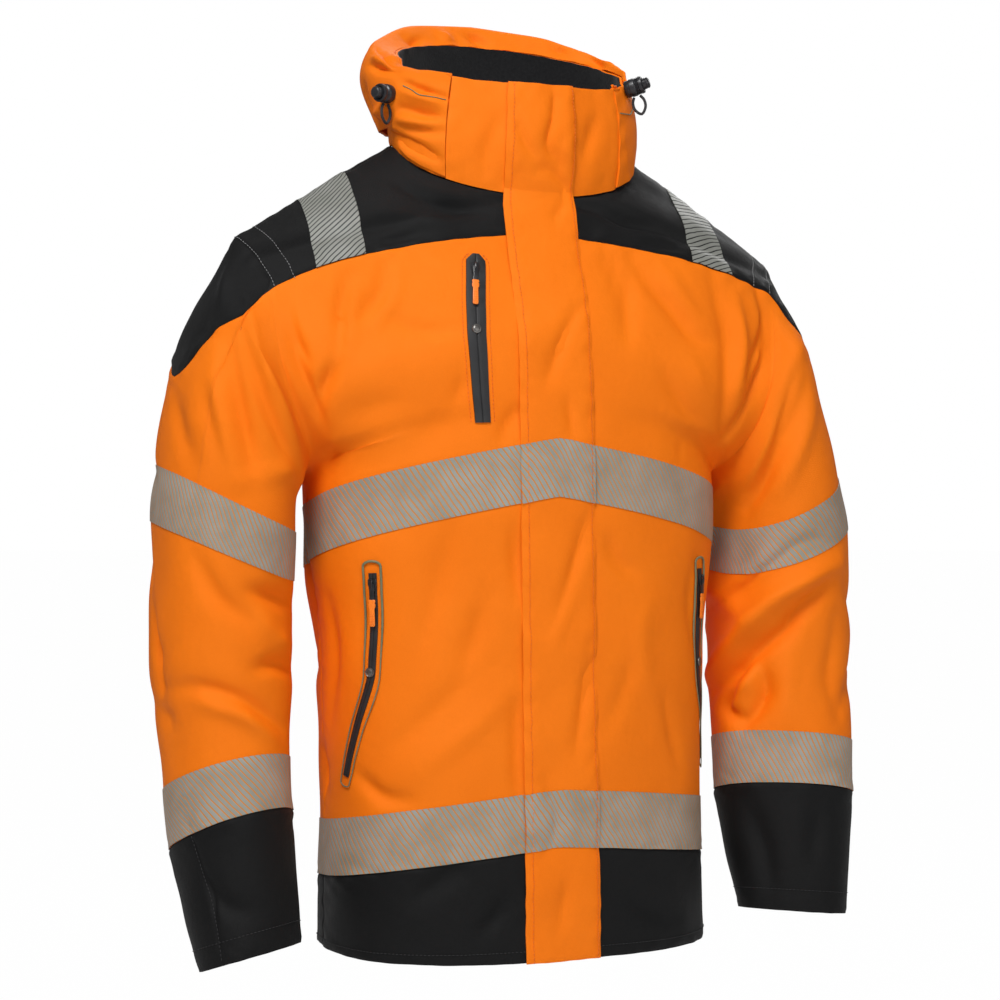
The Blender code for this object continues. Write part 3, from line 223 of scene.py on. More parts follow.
# One row of cloth on the wearer's left half of the torso. It runs from its inner end (x0, y0, z0),
# at the centre line or the neck seam, to its outer end (x1, y1, z1), at the side seam or the armhole,
# as part of a superellipse of the given power that has turned end_deg degrees by its outer end.
# fall is the power with which z leaves the inner end. The jacket hangs a little askew: tilt is how
# much the outer end is higher on the left and lower on the right.
Row = namedtuple("Row", "name x0 y0 z0 x1 y1 z1 power end_deg fall tilt")
TORSO = [
    Row("hem_front", 0, -0.1148, -0.720, 0.183, 0.004, -0.7210, 2.4, 90, 1.0, -0.005),
    Row("hem_tape_bottom_front", 0, -0.1130, -0.6215, 0.181, 0.004, -0.6525, 2.4, 90, 1.0, 0),
    Row("hem_tape_top_front", 0, -0.1112, -0.5715, 0.180, 0.004, -0.6025, 2.4, 90, 1.0, 0),
    Row("waist_front", 0, -0.1060, -0.430, 0.184, 0.004, -0.4550, 2.4, 90, 1.0, 0),
    Row("chest_tape_bottom_front", 0, -0.1035, -0.316, 0.194, 0.004, -0.3710, 2.4, 90, 0.9, 0.001),
    Row("chest_tape_top_front", 0, -0.1022, -0.265, 0.196, 0.004, -0.3200, 2.4, 90, 0.9, 0.001),
    Row("underarm_front", 0, -0.1008, -0.240, 0.197, 0.004, -0.2970, 2.4, 88, 1.0, 0),
    Row("armpit_front", 0, -0.0995, -0.215, 0.206, -0.042, -0.2800, 2.4, 82, 1.0, 0),
    Row("chest", 0, -0.0965, -0.175, 0.226, -0.064, -0.2350, 2.4, 74, 1.0, 0),
    Row("upper_chest", 0, -0.0835, -0.128, 0.242, -0.062, -0.1850, 2.3, 68, 1.0, 0.003),
    Row("yoke_edge_front", 0, -0.0670, -0.0825, 0.243, -0.050, -0.1305, 2.2, 60, 1.45, 0.006),
    Row("neck_front", *neck_point(0), 0.250, -0.032, -0.1120, 2.1, 50, 1.0, 0.002),
    Row("neck_30", *neck_point(30), 0.254, -0.023, -0.1040, 2.0, 42, 1.0, 0),
    Row("neck_60", *neck_point(60), 0.259, -0.012, -0.0960, 2.0, 34, 1.0, 0),
    Row("shoulder", *neck_point(90), 0.263, 0.002, -0.0900, 2.0, 25, 1.0, 0),
    Row("neck_120", *neck_point(120), 0.259, 0.016, -0.0960, 2.0, 34, 1.0, 0),
    Row("neck_150", *neck_point(150), 0.254, 0.029, -0.1040, 2.0, 42, 1.0, 0),
    Row("neck_back", *neck_point(180), 0.250, 0.040, -0.1140, 2.1, 50, 1.2, 0),
    Row("yoke_edge_back", 0, 0.1080, -0.1050, 0.243, 0.062, -0.1500, 2.2, 60, 1.3, 0),
    Row("upper_back", 0, 0.1140, -0.165, 0.240, 0.074, -0.1950, 2.3, 68, 1.6, 0),
    Row("shoulder_blade", 0, 0.1170, -0.225, 0.225, 0.076, -0.2420, 2.4, 74, 1.8, 0),
    Row("armpit_back", 0, 0.1175, -0.265, 0.206, 0.050, -0.2820, 2.4, 82, 2.0, 0),
    Row("underarm_back", 0, 0.1170, -0.315, 0.197, 0.004, -0.2970, 2.4, 88, 2.0, 0),
    Row("chest_tape_top_back", 0, 0.1165, -0.3475, 0.196, 0.004, -0.3200, 2.4, 90, 2.0, 0.001),
    Row("chest_tape_bottom_back", 0, 0.1150, -0.3985, 0.194, 0.004, -0.3710, 2.4, 90, 2.0, 0.001),
    Row("waist_back", 0, 0.1080, -0.470, 0.184, 0.004, -0.4550, 2.4, 90, 2.0, 0),
    Row("hem_tape_top_back", 0, 0.1070, -0.618, 0.180, 0.004, -0.6025, 2.4, 90, 2.0, 0),
    Row("hem_tape_bottom_back", 0, 0.1080, -0.668, 0.181, 0.004, -0.6525, 2.4, 90, 2.0, 0),
    Row("hem_back", 0, 0.1110, -0.723, 0.183, 0.004, -0.7210, 2.4, 90, 2.0, -0.005),
]

# Panels and tapes of the torso, from one row of the table to another.
Band = namedtuple("Band", "name first last")
TORSO_PANELS = [
    Band("hem_front", "hem_front", "hem_tape_bottom_front"),
    Band("front", "hem_tape_bottom_front", "yoke_edge_front"),
    Band("yoke_front", "yoke_edge_front", "shoulder"),
    Band("yoke_back", "shoulder", "yoke_edge_back"),
    Band("back", "yoke_edge_back", "hem_tape_bottom_back"),
    Band("hem_back", "hem_tape_bottom_back", "hem_back"),
]
TORSO_TAPES = [
    Band("hem_tape", "hem_tape_bottom_front", "hem_tape_top_front"),
    Band("chest_tape", "chest_tape_bottom_front", "chest_tape_top_front"),
    Band("chest_tape_back", "chest_tape_top_back", "chest_tape_bottom_back"),
    Band("hem_tape_back", "hem_tape_top_back", "hem_tape_bottom_back"),
]

FLAP_TAPES = [
    Band("hem_tape_flap", "hem_tape_bottom_front", "hem_tape_top_front"),
    Band("chest_tape_flap", "chest_tape_bottom_front", "chest_tape_top_front"),
]

# A ring of the wearer's left sleeve: its outermost and innermost points, its half depth between
# them, how much higher its front point is than its middle, and the rows down to the next ring.
# The right sleeve hangs closer and slimmer: its outer and inner points move in by right_out and
# right_in, its inner point drops by right_drop and its front point rises by right_lift.
Ring = namedtuple("Ring", "name out_x out_y out_z in_x in_y in_z half_depth lift steps "
                          "right_out right_in right_drop right_lift")
SLEEVE = [
    Ring("armhole", 0, 0, 0, 0, 0, 0, 0, 0, 2, 0, 0, 0, 0),
    Ring("head", 0.2880, 0.000, -0.150, 0.2090, 0.006, -0.309, 0.083, 0.000, 1, -0.0060, 0.000, 0, 0),
    Ring("cap_seam", 0.3090, 0.000, -0.212, 0.2140, 0.006, -0.323, 0.082, -0.004, 2, -0.0080, 0.000, 0, 0),
    Ring("tape_top", 0.3310, 0.000, -0.290, 0.2160, 0.004, -0.345, 0.079, -0.010, 1, 0.0020, 0.002, 0, 0),
    Ring("tape_bottom", 0.3415, 0.000, -0.339, 0.2150, 0.003, -0.388, 0.075, -0.008, 2, 0.0075, 0.000, 0, 0),
    Ring("elbow", 0.3475, -0.004, -0.455, 0.2120, 0.006, -0.478, 0.070, 0.004, 2,
         0.0125, -0.004, 0.004, 0.004),
    Ring("cuff_tape_top", 0.3360, -0.040, -0.553, 0.2120, 0.008, -0.547, 0.055, 0.014, 1,
         0.0165, -0.018, 0.012, 0.008),
    Ring("cuff_tape_bottom", 0.3300, -0.052, -0.600, 0.2110, 0.002, -0.597, 0.052, 0.015, 2,
         0.0160, -0.020, 0.008, 0.008),
    Ring("cuff", 0.3070, -0.079, -0.709, 0.2170, -0.033, -0.7045, 0.037, 0.006, 0, 0.0015, -0.005, 0, 0.006),
]
SLEEVE_POWER = 2.15       # of the rings' superellipse
HEAD_ROUND = 0.55         # how full the black sleeve head is between its tip and the yoke seams
SLEEVE_TAPES = [
    Band("sleeve_tape_upper", "tape_top", "tape_bottom"),
    Band("sleeve_tape_lower", "cuff_tape_top", "cuff_tape_bottom"),
]

# The hood, rolled down outside the collar. At each turn from centre front (negative on the wearer's
# right): how far its crest stands out from and above the rim, how far its belly stands out from the
# collar and at what height, and how far out and how high its lower edge ends.
Roll = namedtuple("Roll", "turn crest_out crest_up belly_out belly_z foot_out foot_up")
HOOD = [
    Roll(-180, 0.020, 0.0215, 0.046, 0.060, 0.012, 0.012),
    Roll(-150, 0.022, 0.019, 0.044, 0.060, 0.010, 0.012),
    Roll(-120, 0.022, 0.008, 0.028, 0.070, 0.007, 0.012),
    Roll(-90, 0.015, 0.003, 0.018, 0.066, 0.003, 0.014),
    Roll(-66, 0.006, 0.002, 0.010, 0.050, 0.001, 0.004),
    Roll(-44, 0.001, 0.002, 0.001, 0.040, 0.000, 0.0015),
    Roll(44, 0.001, 0.002, 0.001, 0.040, 0.000, 0.0015),
    Roll(66, 0.001, 0.002, 0.000, 0.045, 0.000, 0.003),
    Roll(90, 0.002, 0.003, 0.001, 0.052, 0.001, 0.008),
    Roll(120, 0.009, 0.010, 0.020, 0.058, 0.004, 0.010),
    Roll(150, 0.016, 0.018, 0.036, 0.060, 0.009, 0.012),
    Roll(180, 0.020, 0.0215, 0.046, 0.060, 0.012, 0.012),
]


# ------------------------------------------------------------------ sizes of trim and hardware
BODY_RADIUS = 0.18        # mean radius of the body, to weigh a turn against a height
RAY_START = 0.6           # clear of the jacket all round
RAY_MISS = 0.2            # where the nearest cloth is looked for when a ray passes it by
# Zips that show: the path of each on the panel, top to bottom, by its turn round the body from
# centre front (degrees) and its height, and its half width at each point.
Stop = namedtuple("Stop", "turn z half_width")
CHEST_ZIP = [Stop(42.4, -0.103, 0.0030), Stop(41.8, -0.110, 0.0090), Stop(37.6, -0.180, 0.0085),
             Stop(35.0, -0.252, 0.0070)]
HAND_ZIP = [Stop(67.0, -0.382, 0.0036), Stop(68.2, -0.466, 0.0036), Stop(73.2, -0.516, 0.0034),
            Stop(77.6, -0.560, 0.0032)]
HAND_PIPING = [Stop(67.0, -0.376, 0.0080), Stop(68.2, -0.471, 0.0078), Stop(73.4, -0.520, 0.0070),
               Stop(78.0, -0.566, 0.0056)]
# Cross-section of a zip: share of the half width, and share of the thickness. Its two lips meet in
# the middle, over the coil.
ZIP_SECTION = [(-1.0, 0.10), (-0.97, 0.62), (-0.90, 0.72), (-0.45, 0.78), (-0.14, 0.94), (-0.06, 0.80),
               (0.0, 0.42), (0.06, 0.80), (0.14, 0.94), (0.45, 0.78), (0.90, 0.72), (0.97, 0.62), (1.0, 0.10)]
ZIP_THICK = 0.0012
ZIP_STEP = 0.0030         # length of one facet of a zip, and of its piping
ZIP_UNDER = 0.5           # share of the gap under a zip that its underside leaves clear
ZIP_SHARP = 50
FEEL = 0.0070             # reach over which the cloth's direction is averaged
SEAT_START = 0.02         # cloth is looked for from this far off, and this far on
SEAT_REACH = 0.05
HARD_SHARP = 38           # degrees between two facets that meet in a crisp edge
PIPING_RADIUS = 0.0010
PIPING_FLAT = 0.8         # its height, as a share of its width
PIPING_NOSE = 0.55        # its rounded ends, as a share of its half width
PIPING_TURN_STEPS = 8
PIPING_SHARP = 70
# The piping's radius, in shares of the full one: what its foot has, and what it gains past a share of
# its height, over another such share.
PIPING_THIN, PIPING_GROWS, PIPING_TURN, PIPING_BLEND = 0.62, 0.48, 0.52, 0.2

SLIDER_WIDTH = 0.0080
SLIDER_HEIGHT = 0.0110
SLIDER_DEPTH = 0.0036
SLOT_DEPTH = 0.0026
HINGE_OUT = 0.0014        # the hinge axis, out from the slot's floor
# Right half of the slider's plate: shares of its half width and half height, from the foot round.
SLIDER_OUTLINE = [(0.55, -1), (0.80, -0.45), (1, 0.10), (1, 0.70), (0.80, 0.93), (0.20, 0.80), (0, 0.62)]
SLIDER_LEVELS = [(0.0, 0.0003), (0.0003, 0.0), (0.0011, 0.0), (0.0015, 0.0005)]  # height, inset
BRIDGE_RADIUS = 0.0010
BRIDGE_REACH = 0.34       # half the bridge, as a share of the slider's height
BRIDGE_FOOT = 0.0008
BRIDGE_ROUND = 0.6
BRIDGE_STEPS = 12

# Outline of a pull below its hinge axis: distance down, half width, half thickness.
PULL_LINK = [(-0.0006, 0.0017, 0.0006), (0.0008, 0.0021, 0.0007), (0.0085, 0.0020, 0.0007),
             (0.0120, 0.0024, 0.0007), (0.0132, 0.0022, 0.0006)]
PULL_TAB = [(0.0126, 0.0019, 0.0005), (0.0130, 0.0030, 0.0007), (0.0145, 0.0033, 0.0008),
            (0.0156, 0.0026, 0.0007), (0.0168, 0.0033, 0.0008), (0.0190, 0.0032, 0.0008),
            (0.0206, 0.0023, 0.0007), (0.0222, 0.0024, 0.0007), (0.0345, 0.0026, 0.0007),
            (0.0356, 0.0023, 0.0006), (0.0360, 0.0016, 0.0004)]
PULL_SQUARE = 0.55        # 1 is an oval section, less is squarer
PULL_SIDES = 16
PULL_RIBS = (0.0245, 0.0267, 0.0289, 0.0311, 0.0333)
RIB_HALF_LENGTH = 0.0019
RIB_OUT = 0.00068
RIB_RADIUS = 0.00035
RIB_SIDE = (0, 1, 1)

TURNED_SIDES = 32         # of everything spun round an axis
TURNED_POINT = 1e-6       # radius that stands for none
SNAP_RADIUS = 0.0043
SNAP_HEIGHT = 0.0016
# A snap's profile from its foot to its middle: shares of its radius and its height.
SNAP_PROFILE = [(0, 0), (0.98, 0), (1, 0.25), (0.97, 0.60), (0.90, 0.82), (0.80, 0.86),
                (0.72, 0.70), (0.66, 0.72), (0.58, 0.90), (0.40, 0.99), (0, 1)]

LOCK_RADIUS = 0.0085
LOCK_LENGTH = 0.0170
LOCK_BORE = 0.0056
LOCK_BORE_DEPTH = 0.0110
LOCK_BEVEL = 0.0012
BEVEL_END, BEVEL_MIDDLE = 1.4, 0.4  # where its upper edge's rounding ends and bends, in bevels
BORE_LIP = 0.0005
GROOVES = (0.78, 0.70, 0.62)  # round the barrel, as shares of its length
GROOVE_HALF = 0.0006
GROOVE_IN = 0.0010
NECK_IN = 0.0003          # how far the grooved part lies in from the belt below it
BELT = (0.52, 0.30, 0.26)  # its upper edge, its lower edge and the end of the step under it
FOOT_IN = 0.0006
PLUNGER_RADIUS = 0.0052
PLUNGER_LENGTH = 0.0130
PLUNGER_TRAVEL = 0.0035
PLUNGER_REST = 0.0006     # left under the plunger when it is pressed home
# The button's edge: how far in from the plunger's radius and how far down from its top.
BUTTON = [(0, 0.0035), (0.0004, 0.0030), (0.0004, 0.0026), (0, 0.0021), (0.0003, 0.0010), (0.0012, 0.0003),
          (0.0026, 0)]
LOOP_START = 0.0008       # the cord loop starts this far off the barrel
LOOP_DROP = 0.0170
LOOP_HALF_WIDTH = 0.0055
LOOP_HEIGHT = 0.50        # share of the barrel's length where the loop comes out
CORD_RADIUS = 0.0013
# The loop's line: share of its half width across, and of its drop.
LOOP = [(-0.55, 0.0), (-1.0, 0.3), (-0.9, 0.7), (0.0, 1.0), (0.9, 0.7), (1.0, 0.3), (0.55, 0.0)]
# The thin cord that shows beside a lock, across the hood's side, as points of the frame.
HOOD_CORD = [(403, 86), (411, 90), (419, 95), (430, 97), (446, 100)]
HOOD_CORD_RADIUS = 0.0005
HOOD_CORD_STEPS = 6

STITCH_LENGTH = 0.0027
STITCH_GAP = 0.0008
STITCH_DIP = 0.0002       # how far a stitch's ends go into the cloth
STITCH_SHOULDERS = (0.22, 0.78)
STITCH_SIDES = 5
STITCH_SUNK = 0.5         # its middle lies this share of the thread's radius out of the cloth
STITCH_SHARP = 80
STITCH_LIFT = 0.0003
THREAD_RADIUS = 0.00032
YOKE_STITCHES = [(0.0016, 0.0004), (0.0205, 0.006)]  # how far in from the armhole seam, and up
HEM_STITCH_ROW = 4        # the row of cloth that the hems are stitched along
FLAP_STITCH_COLUMN = 2    # the same across the flap, counted from its edges
ZIP_STITCH = 0.0035       # beyond the chest zip's edges
CUFF_SEAM = [(189, 828), (196, 850), (204, 876), (212, 900), (218, 932), (222, 962)]


# ------------------------------------------------------------------ fineness of the cloth
GRID = 0.0045             # distance between two rows of cloth
SEAM_ROWS = (0.0011, 0.0028)  # extra rows this far from a seam, for its groove
COLUMNS_INNER = 34
COLUMNS_TAPE = 10
COLUMNS_OUTER = 24
SEAM_COLUMNS = (0.986, 0.994)  # extra columns of the outer group, close to its seam
CAP_ROWS = 24
SLEEVE_UPPER_ROWS = 34
SLEEVE_ROWS_A_STEP = 12
SEAM_SHARES = (0.010, 0.024)  # extra rows beside a seam of the sleeve, as shares of its panel
COLLAR_ROWS = 24
HOOD_ROWS = 32
FLAP_COLUMNS = 22
LEAST_STEP = 1e-4         # between two knots of a running length
MERGE_FINENESS = 1e6      # points in the same micrometre are one
LEAST_AREA = 1e-12        # smaller faces are left out
SEAM_STEP = 0.001         # between the points that stand for a seam
LEAST_BEND = 0.4          # keeps the corners of a sharp rim from running far in
LINE_STEPS = 4            # of a crease's line or a cord's, between two points
CELL_STRIDE = 10000       # sets the numbers of one grid's columns apart from the next grid's
CLOTH_SHARP = 60          # degrees between two facets that meet in a crisp edge
ORIGIN = Matrix.Identity(4)

CREASE_GAIN = 2.7         # the tables' depths are pressed this many times deeper
CREASE_NARROW = 0.85      # and their widths drawn in to this share
CREASE_SHARPER = 0.22     # added to every sharpness in the tables
CREASE_STEEPEST = 1.45    # most depth for each part of half width
CREASE_REACH = 6          # half widths from its line to where a crease is let go
CREASE_START = 0.12       # a crease's depth swells along its line like part of a half wave:
CREASE_RUN = 0.76         # where in that half wave it starts, and how much of it it runs through
TIGHTNESS = 1.7           # of a sharp crease's sides
EVEN_ROUNDS = 2           # how often depths are averaged with their neighbours'
SEAM_DEPTH = 0.0009       # groove along a seam between two panels
SEAM_REACH = 0.0016
HEM_DEPTH = 0.0006        # how far a free edge rolls in
HEM_REACH = 0.0018
WELT_HEIGHT = 0.00045     # the turned-under allowance stands this far proud beside a seam
WELT_WIDTH = 0.0070
WELT_STEP = 0.0012        # the slope at its edge
PUCKER_DEPTH = 0.00035    # small waves beside the topstitched seams
PUCKER_REACH = 0.014
PUCKER_PITCH = (0.011, 0.022)
RIPPLE_DEPTH = 0.00050    # slack that the whole cloth has
RIPPLE_PITCH = (0.045, 0.12)
RIPPLE_WAVES = 16
INNER_THICK = 0.6         # share of the cloth's wall away from its free edges
SEAM_THICK = 0.25         # the same right at a seam,
SEAM_THICK_REACH = 0.008  # and how far from the seam it is thinner
CALM_REACH = 0.012        # hardware sits on even cloth this far round
SOFT_EDGE = 0.2           # how much of the usual roll the hood's and the collar fronts' edges have
SOFT_REACH = 0.012        # armpit folds are rounded this far round
SOFT_FULL = 1.6           # how much of the rounding there would be on the fold, before it is cut off at 1
SOFT_ROUNDS = 36
FOLD_START = 5            # columns past the yoke's edge where the armpit fold starts
BODY_SEED, FLAP_SEED, COLLAR_SEED, HOOD_SEED = 11, 21, 31, 41

INNER_BLACK = "lining"
BLACK_PANELS = ("hem", "yoke", "sleeve_head", "cuff")
WELTED = ("yoke", "cuff", "sleeve_head")
BACK_TAPES = ("hem_tape_back", "chest_tape_back")


# ------------------------------------------------------------------ smooth columns
def smooth_columns(knots, values, wanted):
    """Monotone cubic interpolation of each column of values at the wanted places."""
    knots = np.asarray(knots, float)
    values = np.asarray(values, float)
    wanted = np.asarray(wanted, float)
    span = np.diff(knots)[:, None]
    slope = np.diff(values, axis=0) / span
    tangent = np.zeros_like(values)
    tangent[0], tangent[-1] = slope[0], slope[-1]
    before, after = slope[:-1], slope[1:]
    w1, w2 = 2 * span[1:] + span[:-1], span[1:] + 2 * span[:-1]
    with np.errstate(divide="ignore", invalid="ignore"):
        mean = (w1 + w2) / (w1 / before + w2 / after)
    tangent[1:-1] = np.where(before * after > 0, mean, 0.0)
    k = np.clip(np.searchsorted(knots, wanted, side="right") - 1, 0, len(knots) - 2)
    h = (knots[k + 1] - knots[k])[:, None]
    u = (wanted - knots[k])[:, None] / h
    return ((2 * u**3 - 3 * u**2 + 1) * values[k] + (u**3 - 2 * u**2 + u) * h * tangent[k]
            + (3 * u**2 - 2 * u**3) * values[k + 1] + (u**3 - u**2) * h * tangent[k + 1])


def lengths(values):
    """Running length along a list of points, as knots for smooth_columns."""
    steps = np.linalg.norm(np.diff(np.asarray(values, float), axis=0), axis=1)
    return np.concatenate([[0.0], np.cumsum(np.maximum(steps, LEAST_STEP))])


def spread(knots, steps):
    """Places along the knots with the given number of steps in each interval."""
    places = []
    for k, count in enumerate(steps):
        places += [knots[k] + (knots[k + 1] - knots[k]) * i / count for i in range(count)]
    return places + [knots[-1]]


def graded(start, end, count, seam_at_start, seam_at_end):
    """Places from start up to end in count even steps, with extra ones beside a seam."""
    places = [start + (end - start) * i / count for i in range(count)]
    room = [e for e in SEAM_ROWS if e < (end - start) / 3]
    if seam_at_start:
        places += [start + e for e in room]
    if seam_at_end:
        places += [end - e for e in room]
    return sorted(places)


def smooth_line(points, steps):
    """A Catmull-Rom curve through the points, with steps rows between each two."""
    p = [np.array(q, float) for q in points]
    p = [2 * p[0] - p[1]] + p + [2 * p[-1] - p[-2]]
    out = []
    for k in range(1, len(p) - 2):
        for i in range(steps):
            u = i / steps
            out.append(0.5 * (2 * p[k] + (p[k + 1] - p[k - 1]) * u
                              + (2 * p[k - 1] - 5 * p[k] + 4 * p[k + 1] - p[k + 2]) * u**2
                              + (3 * p[k] - p[k - 1] - 3 * p[k + 1] + p[k + 2]) * u**3))
    return out + [p[-2]]


def running(rows, axis):
    """Running length of a grid of points along one of its two axes, in metres."""
    steps = np.linalg.norm(np.diff(rows, axis=axis), axis=2)
    start = np.zeros((rows.shape[0], 1)) if axis == 1 else np.zeros((1, rows.shape[1]))
    return np.concatenate([start, np.cumsum(steps, axis=axis)], axis=axis)


# ------------------------------------------------------------------ the cloth surface
class Cloth:
    """Quads of cloth, labelled by panel and tape, with shared points and normals."""

    def __init__(self):
        self.parts = []

    def grid(self, rows, label, side, group=0, bases=None):
        """Adds a grid of points. label(i, j) names the panel and the tape of a cell.

        The grid's own lengths in metres, across from its first column and along from the row that
        bases gives for each row of cells, lay out patterns that follow the cloth. side is -1 for a
        grid that is mirrored to the wearer's right.
        """
        rows = np.asarray(rows, float)
        self.parts.append((rows, running(rows, 1) * side, running(rows, 0), label, side < 0, group,
                           bases or [0] * (len(rows) - 1)))

    def settle(self):
        """Merges the grids' shared points and works out the faces, labels and normals."""
        places, faces, maps, panels, tapes, groups, cells = [], [], [], [], [], [], []
        start = 0
        for rows, across, along, label, flip, group, bases in self.parts:
            high, wide = rows.shape[:2]
            ids = start + np.arange(high * wide).reshape(high, wide)
            corners = [ids[:-1, :-1], ids[:-1, 1:], ids[1:, 1:], ids[1:, :-1]]
            spots = []
            for i, j in ((0, 0), (0, 1), (1, 1), (1, 0)):
                down, right = slice(i, high - 1 + i), slice(j, wide - 1 + j)
                length = along[down, right] - along[bases][:, right]
                spots.append(np.stack([across[down, right], length], axis=2))
            if flip:
                corners, spots = corners[::-1], spots[::-1]
            faces.append(np.stack(corners, axis=2).reshape(-1, 4))
            maps.append(np.stack(spots, axis=2).reshape(-1, 4, 2))
            names = [label(i, j) for i in range(high - 1) for j in range(wide - 1)]
            panels += [n[0] for n in names]
            tapes += [n[1] or "" for n in names]
            groups += [group] * len(names)
            cells.append(np.indices((high - 1, wide - 1)).reshape(2, -1).T + (0, CELL_STRIDE * len(cells)))
            places.append(rows.reshape(-1, 3))
            start += high * wide
        points = np.concatenate(places)
        _, first, same = np.unique(np.round(points * MERGE_FINENESS).astype(np.int64), axis=0,
                                   return_index=True, return_inverse=True)
        self.points = points[first]
        self.faces = same.reshape(-1)[np.concatenate(faces)]
        self.flat = np.concatenate(maps)
        self.panel = np.array(panels)
        self.tape = np.array(tapes)
        self.group = np.array(groups)
        self.cell = np.concatenate(cells)
        keep = np.linalg.norm(self.spans(), axis=1) > LEAST_AREA
        for name in ("faces", "flat", "panel", "tape", "group", "cell"):
            setattr(self, name, getattr(self, name)[keep])
        self.find_normals()

    def spans(self):
        """Twice the area vector of every face."""
        p = self.points[self.faces]
        return np.cross(p[:, 2] - p[:, 0], p[:, 3] - p[:, 1])

    def find_normals(self):
        """Normals of the points; where two groups meet, halfway between the two directions."""
        cross = self.spans()
        self.normals = np.zeros_like(self.points)
        for number in np.unique(self.group):
            own = np.zeros_like(self.points)
            chosen = self.group == number
            for corner in range(4):
                np.add.at(own, self.faces[chosen][:, corner], cross[chosen])
            size = np.linalg.norm(own, axis=1)[:, None]
            self.normals += own / np.where(size > 0, size, 1)
        size = np.linalg.norm(self.normals, axis=1)[:, None]
        self.normals /= np.where(size > 0, size, 1)

    def straighten(self, picked):
        """Measures a strip from its own edge and by whole rows, so that its pattern runs straight."""
        rows = self.cell[picked, 0]
        for pair in ((0, 1), (2, 3)):
            for row in np.unique(rows):
                where = np.ix_(picked[rows == row], pair)
                spots = self.flat[where]
                least = np.abs(spots[..., 0]).min()
                spots[..., 0] -= np.sign(spots[..., 0]) * least
                spots[..., 1] = spots[..., 1].mean()
                self.flat[where] = spots

    def cut_size(self, picked):
        """Flat width, length and area of the picked faces, in metres, from their rows and columns."""
        flat = self.flat[picked]
        steps = np.abs(np.stack([flat[:, 1, 0] - flat[:, 0, 0], flat[:, 2, 1] - flat[:, 1, 1]], axis=1))
        longest = [np.bincount(np.unique(self.cell[picked, axis], return_inverse=True)[1],
                               steps[:, axis]).max() for axis in (0, 1)]
        area = np.linalg.norm(self.spans()[picked], axis=1).sum() / 2
        return longest[0], longest[1], area

    def tree(self, group=None):
        """A search tree of the faces, of one group or of all."""
        chosen = self.faces if group is None else self.faces[self.group == group]
        polygons = [tuple(dict.fromkeys(int(i) for i in f)) for f in chosen]
        return BVHTree.FromPolygons([tuple(p) for p in self.points], polygons)

    def members(self, group):
        """Which points belong to a group."""
        inside = np.zeros(len(self.points), bool)
        inside[self.faces[self.group == group]] = True
        return inside

    def move(self, depth):
        """Moves the points in along their normals by the given depths."""
        self.points = self.points - self.normals * depth[:, None]
        self.find_normals()

    def edges(self):
        """Every edge with the one or two faces beside it."""
        sides = {}
        for k, face in enumerate(self.faces):
            ring = list(dict.fromkeys(int(i) for i in face))
            for a, b in zip(ring, ring[1:] + ring[:1]):
                sides.setdefault((min(a, b), max(a, b)), []).append(k)
        return sides

    def seams(self):
        """Points 1 mm apart along the seams between panels, and along the free edges."""
        joined, free = [], []
        for (a, b), beside in self.edges().items():
            if len(beside) == 1:
                kind = free
            elif self.panel[beside[0]] != self.panel[beside[1]]:
                kind = joined
            else:
                continue
            count = max(1, int(np.linalg.norm(self.points[a] - self.points[b]) / SEAM_STEP))
            for i in range(count + 1):
                kind.append(self.points[a] + (self.points[b] - self.points[a]) * i / count)
        return joined, free

    def chosen(self, panels=None, tape=None, start=0.0):
        """Indices of the faces of the given panels or tape, further than start from the centre."""
        picked = np.zeros(len(self.faces), bool)
        if panels:
            picked |= np.isin(self.panel, panels)
        if tape:
            picked |= self.tape == tape
        if start:
            picked &= np.abs(self.points[self.faces].mean(axis=1)[:, 0]) > start
        return np.flatnonzero(picked)

    def wall(self, picked, inner, outer):
        """A closed wall over the picked faces, from one offset along the normals to another."""
        used, local = np.unique(self.faces[picked], return_inverse=True)
        local = local.reshape(-1, 4)
        points, normals = self.points[used].copy(), self.normals[used]
        rings = [list(dict.fromkeys(int(i) for i in f)) for f in local]
        edges = {(a, b) for ring in rings for a, b in zip(ring, ring[1:] + ring[:1])}
        rim = sorted((a, b) for a, b in edges if (b, a) not in edges)
        inward = {}
        for ends in rim:
            into = np.cross(normals[ends[0]] + normals[ends[1]], points[ends[1]] - points[ends[0]])
            into /= np.linalg.norm(into)
            for end in ends:
                inward.setdefault(end, []).append(into)
        for k, pair in inward.items():
            if len(pair) == 2:
                bend = 1 + float(np.dot(pair[0], pair[1]))
                points[k] += (pair[0] + pair[1]) / max(bend, LEAST_BEND) * SEAM_OPEN / 2
        count = len(used)
        shell = np.vstack([points + normals * (lift[used][:, None] if isinstance(lift, np.ndarray) else lift)
                           for lift in (outer, inner)])
        face, face_flat = [], []
        for ring, quad, spots in zip(rings, local, self.flat[picked]):
            at = {int(i): s for i, s in zip(quad, spots)}
            for corners in halves(ring, shell):
                face.append(corners)
                face_flat.append([at[i] for i in corners])
        edge = {i: s for corners, spots in zip(face, face_flat) for i, s in zip(corners, spots)}
        solid = face + [[count + i for i in corners[::-1]] for corners in face]
        solid += [[b, a, count + a, count + b] for a, b in rim]
        flat = face_flat + [spots[::-1] for spots in face_flat]
        flat += [[edge[b], edge[a], edge[a], edge[b]] for a, b in rim]
        return shell, solid, flat, len(face)


def halves(ring, points):
    """A four-sided face as two triangles, cut along its shorter diagonal."""
    if len(ring) == 3:
        return [ring]
    a, b, c, d = ring
    across, other = points[a] - points[c], points[b] - points[d]
    if across @ across <= other @ other:
        return [[a, b, c], [a, c, d]]
    return [[b, c, d], [b, d, a]]


